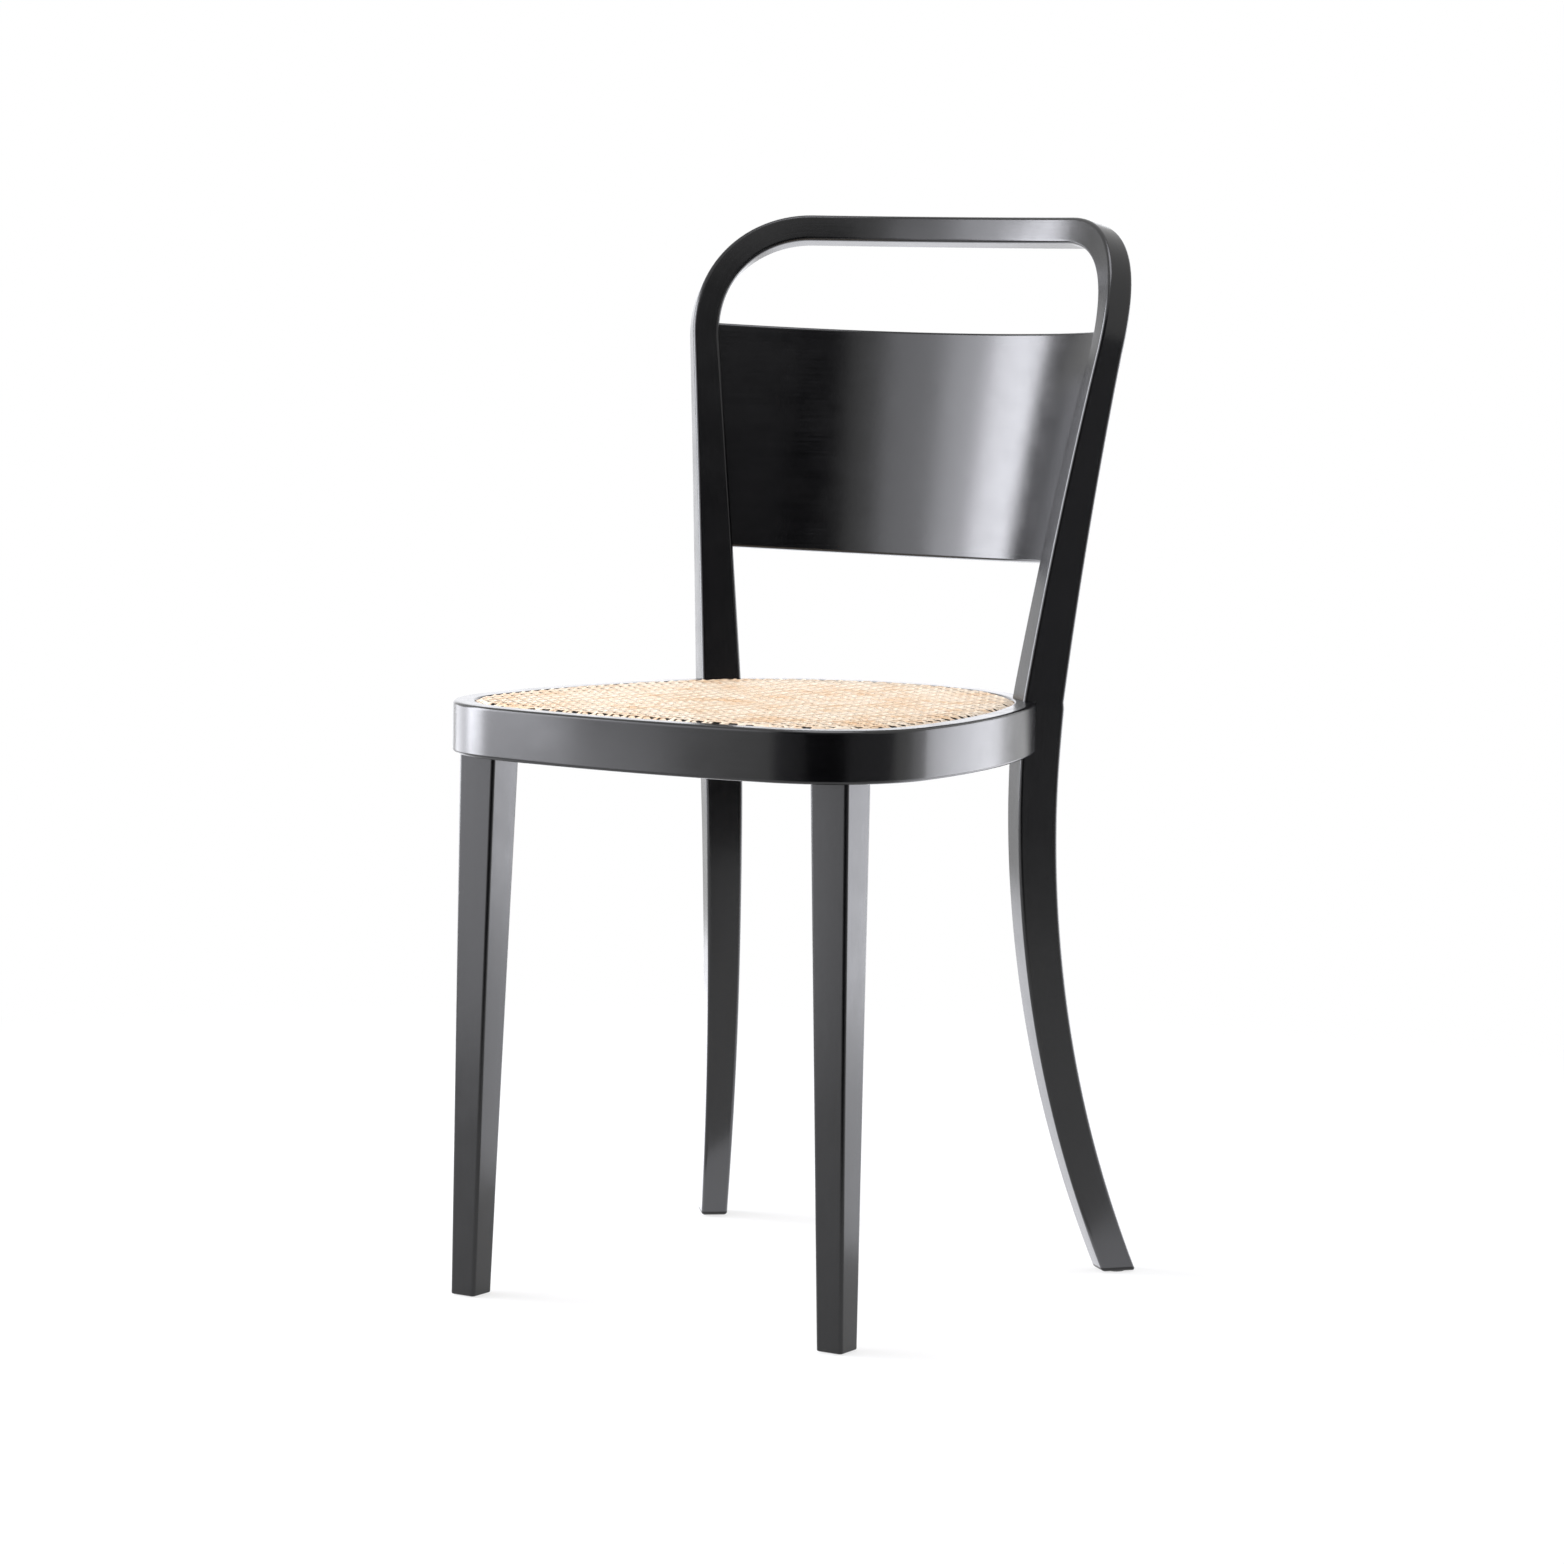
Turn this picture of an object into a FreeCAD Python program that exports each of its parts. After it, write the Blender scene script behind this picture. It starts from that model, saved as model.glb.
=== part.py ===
import FreeCAD, Part
import math
import os

V = FreeCAD.Vector
UP = V(0, 0, 1)
os.makedirs("parts", exist_ok=True)

# Overall size. The chair faces -Y and stands on Z = 0, centred on the middle of its depth.
overall_height = 850.0
overall_depth = 506.0
seat_top = 467.0

# Seat ring: plan made of tangent arcs, each ending at a heading measured from +X.
# The plan is scaled as a whole until its outer wall meets the posts, set back from their centres.
ring_height = 40.0
ring_set_back = 3.3
ring_thickness = 17.0
ring_front_radius = 788.0
ring_corner_radius = 98.4
ring_side_radius = 558.0
ring_front_heading = 9.1
ring_corner_heading = 87.3
ring_side_heading = 110.5
ring_outer_round = 3.0
ring_inner_round = 2.0

# Back surface that the hoop and the panel lie on: it flares and curls outward with height
back_bearing = 43.07
back_radius = 221.9
back_flare = 0.166
back_curl = 0.0001215
back_lean = 0.0403

# Hoop: rail, posts and rear legs are one bent piece of tapering section
rail_height = 21.8
rail_depth = 21.0
rail_corner_radius = 95.5
post_width = 32.6
post_depth = 33.8
rear_foot_width = 22.0
rear_foot_depth = 26.8
hoop_round = 3.0

# Rear leg sweep: share of the seat height, outward offset, change of bearing in degrees
rear_leg_sweep = [
    (-0.04, 91.4, -3.37),
    (0.0, 83.2, -3.32),
    (0.2174, 44.9, -3.02),
    (0.4348, 18.3, -2.47),
    (0.652, 3.0, -1.67),
    (0.87, -1.3, -0.79),
    (1.0, 0.8, 0.0),
]
post_stations = 4
corner_stations = 4
rail_stations = 3

# Back panel
panel_thickness = 9.0
panel_recess = 2.5
panel_groove_depth = 7.0
panel_below_top = 95.4
panel_height = 182.8
panel_edge_tilt = 4.0
panel_clearance = 0.3

# Cane seat on its inner frame
cane_thickness = 2.2
cane_proud = 0.4
cane_opening = 14.5
cane_border = 3.6
cane_rows = (10, 12, 12, 12, 12, 12, 10, 10, 10, 8, 6, 4)
seat_frame_width = 28.0
seat_frame_thickness = 14.0
spline_size = 3.6
seat_clearance = 0.3

# Front legs
leg_top_width = 33.0
leg_top_depth = 35.0
front_foot_width = 22.5
front_foot_depth = 24.5
leg_splay_out = 3.6
leg_splay_back = 1.0
leg_inset = 3.8
leg_round = 3.0
tenon_diameter = 18.0
tenon_length = 20.0
tenon_inset = 4.0
tenon_clearance = 0.15

# Blocks and cleats under the seat frame
front_block_reach = 40.0
front_block_half_width = 44.0
rear_block_half_width = 28.0
rear_block_reach = 46.0
side_cleat_length = 60.0
side_cleat_thickness = 18.0
side_cleat_centre_y = -45.0
glue_gap = 0.2

# Screws: length, shank, head diameter and head height
screw_clearance = 0.15
block_screw = (45.0, 4.5, 9.0, 4.5)
lock_screw = (28.0, 4.5, 9.0, 4.5)
cleat_screw = (30.0, 4.0, 8.0, 4.0)
frame_screw = (32.0, 4.0, 8.0, 4.0)
block_screw_spread = 35.0
cleat_screw_spread = 15.0
frame_screw_spread = 25.0
rear_frame_screw_spread = 18.0

# Bolted rear joint
bolt_diameter = 6.0
bolt_head_diameter = 12.0
bolt_head_height = 4.0
bolt_above_ring_bottom = 10.0
washer_diameter = 14.0
washer_thickness = 1.2
insert_diameter = 10.0
insert_length = 13.0
insert_set_back = 1.8
bolt_end_gap = 1.0
bolt_socket_across = 4.0
bolt_socket_depth = 2.5
bore_overrun = 3.0
dowel_diameter = 8.0
dowel_length = 22.0
dowel_above_bolt = 19.0
bolt_clearance = 0.15

# Nailed glides
glide_diameter = 15.0
glide_thickness = 4.0
glide_proud = 0.8
nail_diameter = 2.2
nail_length = 14.0
nail_head_diameter = 5.0
nail_head_height = 1.0
nail_head_sink = 0.8

# Derived heights
ring_bottom = seat_top - ring_height
panel_top = overall_height - panel_below_top
panel_bottom = panel_top - panel_height
cane_top = seat_top + cane_proud
cane_bottom = cane_top - cane_thickness
seat_frame_bottom = cane_bottom - seat_frame_thickness
bolt_z = ring_bottom + bolt_above_ring_bottom


def plan(radius, heading):
    """Unit offset of an arc point from its centre, for a path that turns left from +X."""
    angle = math.radians(heading)
    return V(radius * math.sin(angle), -radius * math.cos(angle), 0)


def back_radius_at(z):
    rise = z - seat_top
    return back_radius + back_flare * rise + back_curl * rise * rise


def back_slope_at(z):
    return back_flare + 2 * back_curl * (z - seat_top)


# The rail's height and depth follow the overall size
rail_tilt = math.atan(back_slope_at(overall_height - rail_height / 2))
rail_z = overall_height - rail_height / 2 * math.cos(rail_tilt) - rail_depth / 2 * math.sin(rail_tilt)
rail_y = overall_depth / 2 - rail_height / 2 * math.sin(rail_tilt) - rail_depth / 2 * math.cos(rail_tilt)
back_axis_seat_y = rail_y - back_radius_at(rail_z) + back_lean * (rail_z - seat_top)


def back_axis_y(z):
    return back_axis_seat_y - back_lean * max(z - seat_top, 0)


def back_point(bearing, radius, z):
    angle = math.radians(bearing)
    return V(radius * math.sin(angle), back_axis_y(z) + radius * math.cos(angle), z)


def ring_plan(scale):
    """Centre and radius of the front, corner, side and rear arcs; the rear radius closes the plan."""
    front_radius = scale * ring_front_radius
    corner_radius = scale * ring_corner_radius
    side_radius = scale * ring_side_radius
    front = V(0, front_radius - overall_depth / 2, 0)
    corner = front + plan(front_radius - corner_radius, ring_front_heading)
    side = corner + plan(corner_radius - side_radius, ring_corner_heading)
    rear_radius = (side + plan(side_radius, ring_side_heading)).x / math.sin(math.radians(ring_side_heading))
    rear = side + plan(side_radius - rear_radius, ring_side_heading)
    return (front, front_radius), (corner, corner_radius), (side, side_radius), (rear, rear_radius)


def wall_set_back(scale):
    """How far the ring's outer wall lies inside the centre of the post."""
    rear, rear_radius = ring_plan(scale)[3]
    return math.hypot(post_centre.x - rear.x, post_centre.y - rear.y) - rear_radius


post_centre = back_point(back_bearing, back_radius, bolt_z)
scale_low, scale_high = 0.5, 2.0
while scale_high - scale_low > 1e-9:
    plan_scale = (scale_low + scale_high) / 2
    if wall_set_back(plan_scale) > ring_set_back:
        scale_low = plan_scale
    else:
        scale_high = plan_scale
(ring_front, front_radius), (ring_corner, corner_radius), (ring_side, side_radius), (ring_rear, rear_radius) = (
    ring_plan(plan_scale))


def ring_wire(inset, z):
    """Closed plan outline at a distance inside the ring's outer wall."""
    arcs = [
        (ring_corner, corner_radius, ring_front_heading, ring_corner_heading),
        (ring_side, side_radius, ring_corner_heading, ring_side_heading),
    ]
    edges = []
    for centre, radius, first, last in arcs:
        points = [centre + plan(radius - inset, h) + UP * z for h in (first, (first + last) / 2, last)]
        mirrored = [V(-p.x, p.y, p.z) for p in reversed(points)]
        edges.append(Part.Arc(*points).toShape())
        edges.append(Part.Arc(*mirrored).toShape())
    for centre, radius, half in (
        (ring_front, front_radius, ring_front_heading),
        (ring_rear, rear_radius, 180 - ring_side_heading),
    ):
        middle = 0 if centre is ring_front else 180
        points = [centre + plan(radius - inset, middle + h) + UP * z for h in (-half, 0, half)]
        edges.append(Part.Arc(*points).toShape())
    return Part.Wire(Part.__sortEdges__(edges))


def ring_prism(inset, bottom, top):
    return Part.Face(ring_wire(inset, bottom)).extrude(UP * (top - bottom))


def ring_band(outer_inset, inner_inset, bottom, top):
    return ring_prism(outer_inset, bottom, top).cut(ring_prism(inner_inset, bottom - 1, top + 1))


corner_drop = rail_corner_radius * math.cos(rail_tilt)
shoulder_z = rail_z - corner_drop


def taper(value_low, value_high, low, high, z):
    share = min(max((z - low) / (high - low), 0), 1)
    return value_low + (value_high - value_low) * share


def hoop_width_at(z):
    if z < seat_top:
        return taper(rear_foot_width, post_width, 0, seat_top, z)
    return taper(post_width, rail_height, seat_top, shoulder_z, z)


def hoop_depth_at(z):
    if z < seat_top:
        return taper(rear_foot_depth, post_depth, 0, seat_top, z)
    return taper(post_depth, rail_depth, seat_top, shoulder_z, z)


def hoop_stations():
    """Right half of the hoop from below the floor to the middle of the rail: centre, bearing and slope."""
    stations = []
    for share, outward, turn in rear_leg_sweep:
        z = share * seat_top
        bearing = back_bearing + turn
        stations.append((back_point(bearing, back_radius + outward, z), bearing, 0.0))
    for i in range(1, post_stations + 2):
        z = seat_top + (shoulder_z - seat_top) * i / (post_stations + 1)
        stations.append((back_point(back_bearing, back_radius_at(z), z), back_bearing, back_slope_at(z)))
    rail_radius = back_radius_at(rail_z)
    rail_half_length = math.radians(back_bearing) * rail_radius - rail_corner_radius
    for i in range(1, corner_stations + 1):
        turn = math.pi / 2 * (1 - i / corner_stations)
        length = rail_half_length + rail_corner_radius * math.sin(turn)
        z = rail_z - corner_drop * (1 - math.cos(turn))
        bearing = math.degrees(length / rail_radius)
        stations.append((back_point(bearing, back_radius_at(z), z), bearing, back_slope_at(z)))
    for i in range(1, rail_stations + 1):
        bearing = math.degrees(rail_half_length / rail_radius) * (1 - i / rail_stations)
        stations.append((back_point(bearing, rail_radius, rail_z), bearing, back_slope_at(rail_z)))
    return stations


def rounded_section(centre, along, normal, width, depth, round_radius):
    """Rounded rectangle square to a path; its depth runs along the face normal."""
    normal = (normal - along * normal.dot(along)).normalize()
    side = along.cross(normal).normalize()
    corners = [(1, 1), (-1, 1), (-1, -1), (1, -1)]
    edges = []
    for k, (s, n) in enumerate(corners):
        t, m = corners[(k + 1) % 4]
        pivot = centre + side * (s * (width / 2 - round_radius)) + normal * (n * (depth / 2 - round_radius))
        following = centre + side * (t * (width / 2 - round_radius)) + normal * (m * (depth / 2 - round_radius))
        before = normal * n if k % 2 == 1 else side * s
        after = normal * n if k % 2 == 0 else side * s
        middle = (before + after).normalize()
        edges.append(Part.Arc(pivot + before * round_radius, pivot + middle * round_radius,
                              pivot + after * round_radius).toShape())
        edges.append(Part.makeLine(pivot + after * round_radius, following + after * round_radius))
    return Part.Wire(edges)


def bent_hoop():
    right = hoop_stations()
    left = [(V(-p.x, p.y, p.z), -bearing, slope) for p, bearing, slope in reversed(right[:-1])]
    stations = right + left
    path = Part.BSplineCurve()
    path.interpolate([p for p, bearing, slope in stations])
    wires = []
    for point, bearing, slope in stations:
        along = path.tangent(path.parameter(point))[0]
        angle = math.radians(bearing)
        normal = V(-math.sin(angle), -math.cos(angle), slope)
        wires.append(rounded_section(point, along, normal, hoop_width_at(point.z), hoop_depth_at(point.z), hoop_round))
    return Part.makeLoft(wires, True, False)


def panel_outline(z, front_gap, groove_gap):
    """Closed outline of the panel at one height; the gaps widen it to make the groove's cutter."""
    centre = V(0, back_axis_y(z), z)
    front = back_radius_at(z) - hoop_depth_at(z) / 2 + panel_recess
    reach = hoop_width_at(z) / 2 - panel_groove_depth - groove_gap
    half = back_bearing - math.degrees(reach / back_radius_at(z))
    inner = front - front_gap
    outer = front + panel_thickness + front_gap
    points = []
    for radius in (inner, outer):
        for bearing in (-half, 0, half):
            angle = math.radians(bearing)
            points.append(centre + V(radius * math.sin(angle), radius * math.cos(angle), 0))
    front_arc = Part.Arc(*points[:3]).toShape()
    rear_arc = Part.Arc(*points[3:]).toShape()
    return Part.Wire([
        front_arc,
        Part.makeLine(points[2], points[5]),
        rear_arc,
        Part.makeLine(points[3], points[0]),
    ])


def edge_cutter(z, side):
    """Block above or below the plane of the panel's edge, which rises towards the posts."""
    middle = V(0, back_axis_y(z) + back_radius_at(z) - hoop_depth_at(z) / 2 + panel_recess, z)
    reach = overall_depth
    block = Part.makeBox(2 * reach, 2 * reach, reach, V(-reach, -reach, 0 if side > 0 else -reach))
    block.Placement = FreeCAD.Placement(middle, FreeCAD.Rotation(V(1, 0, 0), -panel_edge_tilt))
    return block


def panel_shape(gap):
    rise = overall_depth * math.tan(math.radians(panel_edge_tilt))
    heights = [panel_bottom - rise, (panel_bottom + panel_top) / 2, panel_top + rise]
    blank = Part.makeLoft([panel_outline(z, gap, gap) for z in heights], True, False)
    return blank.cut(edge_cutter(panel_bottom - gap, -1)).cut(edge_cutter(panel_top + gap, 1))


def turned(shape, origin, direction):
    """Moves a shape built along +Z so that it starts at a point and runs in a direction."""
    placed = shape.copy()
    placed.Placement = FreeCAD.Placement(origin, FreeCAD.Rotation(UP, direction))
    return placed


def rod(diameter, length, origin, direction):
    return turned(Part.makeCylinder(diameter / 2, length), origin, direction)


def wood_screw(size, clearance=0.0):
    length, shank, head, head_height = size
    radius = shank / 2 + clearance
    tip = shank
    profile = [
        V(0, 0, 0),
        V(head / 2 + clearance, 0, 0),
        V(radius, 0, head_height),
        V(radius, 0, length - tip),
        V(0.3 + clearance, 0, length + clearance),
        V(0, 0, length + clearance),
        V(0, 0, 0),
    ]
    return Part.Face(Part.makePolygon(profile)).revolve(V(0, 0, 0), UP, 360)


def both_sides(shapes):
    return shapes + [s.mirror(V(0, 0, 0), V(1, 0, 0)) for s in shapes]


def box_in_frame(origin, across, along, low, high, bottom, top):
    """Upright box given by its limits across and along two horizontal directions."""
    corners = [(low[0], low[1]), (high[0], low[1]), (high[0], high[1]), (low[0], high[1]), (low[0], low[1])]
    base = V(origin.x, origin.y, bottom)
    outline = Part.makePolygon([base + across * a + along * b for a, b in corners])
    return Part.Face(outline).extrude(UP * (top - bottom))


def round_rims(band, inset, radius):
    """Rounds the top and bottom edges of the band's wall at one inset."""
    rims = [Part.Compound([ring_wire(inset, z)]) for z in (ring_bottom, seat_top)]
    edges = []
    for edge in band.Edges:
        middle = Part.Vertex(edge.valueAt((edge.FirstParameter + edge.LastParameter) / 2))
        if edge.BoundBox.ZLength < 0.01 and min(rim.distToShape(middle)[0] for rim in rims) < 0.01:
            edges.append(edge)
    return band.makeFillet(radius, edges)


# Seat ring and what lies inside it
seat_ring = ring_band(0, ring_thickness, ring_bottom, seat_top)
seat_ring = round_rims(seat_ring, 0, ring_outer_round)
seat_ring = round_rims(seat_ring, ring_thickness, ring_inner_round)

seat_inset = ring_thickness + seat_clearance
cane_panel = ring_prism(seat_inset, cane_bottom, cane_top)

# Coarse openings in rows from front to back, inside the seat frame, in place of the weave's small holes
clear_box = ring_prism(seat_inset + seat_frame_width, cane_bottom, cane_top).BoundBox
row_step = (clear_box.YLength - 2 * cane_border) / len(cane_rows)
column_step = (clear_box.XLength - 2 * cane_border) / max(cane_rows)
openings = []
for row, count in enumerate(cane_rows):
    opening_y = clear_box.YMin + cane_border + (row + 0.5) * row_step - cane_opening / 2
    for column in range(count):
        opening_x = (column - (count - 1) / 2) * column_step - cane_opening / 2
        corner = V(opening_x, opening_y, cane_bottom - 1)
        openings.append(Part.makeBox(cane_opening, cane_opening, cane_thickness + 2, corner))
cane_panel = cane_panel.cut(openings)
spline_bottom = cane_bottom - spline_size
cane_spline = ring_band(seat_inset, seat_inset + spline_size, spline_bottom, cane_bottom)
rabbet_inset = seat_inset + spline_size + glue_gap
seat_frame = ring_band(seat_inset, seat_inset + seat_frame_width, seat_frame_bottom, cane_bottom)
seat_frame = seat_frame.cut(ring_band(0, rabbet_inset, spline_bottom, cane_bottom + 1))

# Back hoop, cut flat over its glides, notched around the ring and grooved for the panel
back_hoop = bent_hoop()
below_feet = Part.makeBox(2 * overall_depth, 2 * overall_depth, seat_top,
                          V(-overall_depth, -overall_depth, glide_proud - seat_top))
back_hoop = back_hoop.cut(below_feet)
back_hoop = back_hoop.cut(ring_prism(-seat_clearance, ring_bottom, seat_top))
back_hoop = back_hoop.cut(panel_shape(panel_clearance))
back_panel = panel_shape(0.0)


# Front leg: all four faces taper, and its tenon stands in the corner block
diagonal = V(1, -1, 0).normalize()
across_diagonal = V(1, 1, 0).normalize()
leg_corner = ring_corner + diagonal * (corner_radius - leg_inset)
leg_centre = leg_corner + V(-leg_top_width / 2, leg_top_depth / 2, 0)
foot_corner = leg_corner + V(leg_splay_out, leg_splay_back, 0)
foot_centre = foot_corner + V(-front_foot_width / 2, front_foot_depth / 2, 0)
tenon_centre = leg_centre - diagonal * tenon_inset


def leg_outline(corner, width, depth, z):
    x, y = corner.x, corner.y
    return [V(x, y, z), V(x, y + depth, z), V(x - width, y + depth, z), V(x - width, y, z), V(x, y, z)]


def tapered_leg():
    low = leg_outline(foot_corner, front_foot_width, front_foot_depth, glide_proud)
    high = leg_outline(leg_corner, leg_top_width, leg_top_depth, ring_bottom)
    leg = Part.makeLoft([Part.makePolygon(low), Part.makePolygon(high)], True, True)
    upright = [e for e in leg.Edges if e.BoundBox.ZLength > seat_top / 2]
    leg = leg.makeFillet(leg_round, upright)
    tenon = Part.makeCylinder(tenon_diameter / 2, tenon_length, V(tenon_centre.x, tenon_centre.y, ring_bottom))
    return leg.fuse(tenon)


# Blocks and cleats fill the space between the ring and the seat frame
inner_space = ring_prism(ring_thickness + glue_gap, ring_bottom, seat_frame_bottom)
front_block = inner_space.common(box_in_frame(
    ring_corner, diagonal, across_diagonal,
    (front_block_reach, -front_block_half_width), (corner_radius, front_block_half_width),
    ring_bottom, seat_frame_bottom))
bearing_angle = math.radians(back_bearing)
post_inward = V(-math.sin(bearing_angle), -math.cos(bearing_angle), 0)
post_across = V(math.cos(bearing_angle), -math.sin(bearing_angle), 0)
rear_block = inner_space.common(box_in_frame(
    post_centre, post_inward, post_across,
    (0, -rear_block_half_width), (rear_block_reach, rear_block_half_width),
    ring_bottom, seat_frame_bottom))


def inner_wall_x(y):
    radius = side_radius - ring_thickness
    return ring_side.x + math.sqrt(radius * radius - (y - ring_side.y) ** 2)


cleat_inner_x = inner_wall_x(side_cleat_centre_y) - side_cleat_thickness
cleat_start = V(cleat_inner_x, side_cleat_centre_y - side_cleat_length / 2, ring_bottom)
side_cleat = inner_space.common(Part.makeBox(
    2 * side_cleat_thickness, side_cleat_length, seat_frame_bottom - ring_bottom, cleat_start))


# Screws of the right half, each with the place of its head and its direction
block_mid_z = (ring_bottom + seat_frame_bottom) / 2
block_face = ring_corner + diagonal * front_block_reach + UP * block_mid_z
block_screw_places = [(block_face + across_diagonal * s, diagonal) for s in (-block_screw_spread, block_screw_spread)]
lock_screw_places = [(block_face, diagonal)]
cleat_screw_places = [
    (V(cleat_inner_x, side_cleat_centre_y + s, block_mid_z), V(1, 0, 0))
    for s in (-cleat_screw_spread, cleat_screw_spread)
]
frame_line = seat_inset + seat_frame_width / 2
frame_corner_reach = math.sqrt((corner_radius - frame_line) ** 2 - frame_screw_spread ** 2)
front_frame_place = ring_corner + diagonal * frame_corner_reach + across_diagonal * frame_screw_spread
rear_frame_reach = ring_set_back + frame_line
rear_frame_place = post_centre + post_inward * rear_frame_reach + post_across * rear_frame_screw_spread
side_frame_place = V(cleat_inner_x + side_cleat_thickness / 2, side_cleat_centre_y, 0)
frame_screw_places = [
    (V(p.x, p.y, ring_bottom), UP) for p in (front_frame_place, rear_frame_place, side_frame_place)
]


def screws(size, places, clearance=0.0):
    return [turned(wood_screw(size, clearance), origin, direction) for origin, direction in places]


block_screws = screws(block_screw, block_screw_places)
lock_screws = screws(lock_screw, lock_screw_places)
cleat_screws = screws(cleat_screw, cleat_screw_places)
frame_screws = screws(frame_screw, frame_screw_places)
screw_bores = (
    screws(block_screw, block_screw_places, screw_clearance)
    + screws(lock_screw, lock_screw_places, screw_clearance)
    + screws(cleat_screw, cleat_screw_places, screw_clearance)
    + screws(frame_screw, frame_screw_places, screw_clearance)
)

# Bolt, washer, insert and dowel of the right post joint, all square to the post's front face
bolt_seat = post_centre + post_inward * (rear_block_reach + washer_thickness)
outward = post_inward * -1
insert_start = post_centre + outward * (insert_set_back - ring_set_back)
bolt_shank_length = (insert_start - bolt_seat).Length + insert_length - bolt_end_gap
bolt = rod(bolt_diameter, bolt_shank_length, bolt_seat, outward)
bolt = bolt.fuse(rod(bolt_head_diameter, bolt_head_height, bolt_seat, post_inward))
socket_corners = [V(bolt_socket_across / math.sqrt(3), 0, 0)]
for k in range(6):
    socket_corners.append(FreeCAD.Rotation(UP, 60).multVec(socket_corners[-1]))
socket = Part.Face(Part.makePolygon(socket_corners)).extrude(UP * bolt_socket_depth)
bolt = bolt.cut(turned(socket, bolt_seat + post_inward * bolt_head_height, outward))
bolt_bore_diameter = bolt_diameter + 2 * bolt_clearance
washer = rod(washer_diameter, washer_thickness, bolt_seat, outward)
washer = washer.cut(rod(bolt_bore_diameter, washer_thickness, bolt_seat, outward))
insert = rod(insert_diameter, insert_length, insert_start, outward)
insert = insert.cut(rod(bolt_bore_diameter, insert_length, insert_start, outward))
bolt_bore = rod(bolt_bore_diameter, bolt_shank_length + bore_overrun, bolt_seat, outward)
insert_bore = rod(insert_diameter + 2 * bolt_clearance, insert_length + bore_overrun,
                  insert_start - outward * (bore_overrun - seat_clearance), outward)
dowel_start = post_centre + UP * dowel_above_bolt - outward * (ring_set_back + dowel_length / 2)
dowel = rod(dowel_diameter, dowel_length, dowel_start, outward)
dowel_bore = rod(dowel_diameter + 2 * bolt_clearance, dowel_length + 2 * seat_clearance,
                 dowel_start - outward * seat_clearance, outward)


# Glides and nails under the four feet
rear_foot = back_point(back_bearing + rear_leg_sweep[1][2], back_radius + rear_leg_sweep[1][1], 0)
feet = [V(foot_centre.x, foot_centre.y, 0), V(rear_foot.x, rear_foot.y, 0)]


def glide(place):
    disc = Part.makeCylinder(glide_diameter / 2, glide_thickness, place)
    sink = Part.makeCylinder(nail_head_diameter / 2 + bolt_clearance, nail_head_sink + nail_head_height, place)
    hole = Part.makeCylinder(nail_diameter / 2 + bolt_clearance, glide_thickness, place)
    return disc.cut(sink).cut(hole)


def nail(place):
    head_start = place + UP * nail_head_sink
    head = Part.makeCylinder(nail_head_diameter / 2, nail_head_height, head_start)
    return head.fuse(Part.makeCylinder(nail_diameter / 2, nail_length, head_start))


def foot_bore(place):
    recess = Part.makeCylinder(glide_diameter / 2 + bolt_clearance, glide_thickness, place)
    return recess.fuse(Part.makeCylinder(nail_diameter / 2 + bolt_clearance, nail_length + 1.5, place))


# Bores through everything that the fasteners hold
front_leg = tapered_leg().cut(foot_bore(feet[0]))
front_leg = front_leg.cut(screw_bores[2])
tenon_bore = Part.makeCylinder(
    tenon_diameter / 2 + tenon_clearance, tenon_length + 0.5, V(tenon_centre.x, tenon_centre.y, ring_bottom))
front_block = front_block.cut(tenon_bore)
for bore in screw_bores:
    front_block = front_block.cut(bore)
    side_cleat = side_cleat.cut(bore)
    rear_block = rear_block.cut(bore)
rear_block = rear_block.cut(bolt_bore)
for bore in both_sides(screw_bores):
    seat_ring = seat_ring.cut(bore)
    seat_frame = seat_frame.cut(bore)
for bore in both_sides([bolt_bore, dowel_bore]):
    seat_ring = seat_ring.cut(bore)
for bore in both_sides([bolt_bore, insert_bore, dowel_bore, foot_bore(feet[1])]):
    back_hoop = back_hoop.cut(bore)


def mirrored(shape):
    return shape.mirror(V(0, 0, 0), V(1, 0, 0))


nodes = {
    "back_hoop": [back_hoop],
    "back_panel": [back_panel],
    "seat_ring": [seat_ring],
    "seat_frame": [seat_frame],
    "cane_panel": [cane_panel],
    "cane_spline": [cane_spline],
    "front_leg_left": [mirrored(front_leg)],
    "front_leg_right": [front_leg],
    "front_block_left": [mirrored(front_block)],
    "front_block_right": [front_block],
    "front_block_screws": both_sides(block_screws),
    "leg_lock_screws": both_sides(lock_screws),
    "rear_block_left": [mirrored(rear_block)],
    "rear_block_right": [rear_block],
    "rear_bolts": both_sides([bolt]),
    "rear_bolt_washers": both_sides([washer]),
    "rear_inserts": both_sides([insert]),
    "rear_dowels": both_sides([dowel]),
    "side_cleat_left": [mirrored(side_cleat)],
    "side_cleat_right": [side_cleat],
    "cleat_screws": both_sides(cleat_screws),
    "frame_screws": both_sides(frame_screws),
    "leg_glides": both_sides([glide(p) for p in feet]),
    "glide_nails": both_sides([nail(p) for p in feet]),
}

for name, shapes in nodes.items():
    solids = [solid for shape in shapes for solid in shape.Solids]
    result = solids[0] if len(solids) == 1 else Part.makeCompound(solids)
    result.exportStep("parts/" + name + ".step")
    box = result.BoundBox
    print(name, len(solids), "solids", result.isValid(), round(result.Volume),
          [round(v, 1) for v in (box.XMin, box.XMax, box.YMin, box.YMax, box.ZMin, box.ZMax)])
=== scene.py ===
import bpy
import math
import numpy as np
from mathutils import Matrix, Vector


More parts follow.
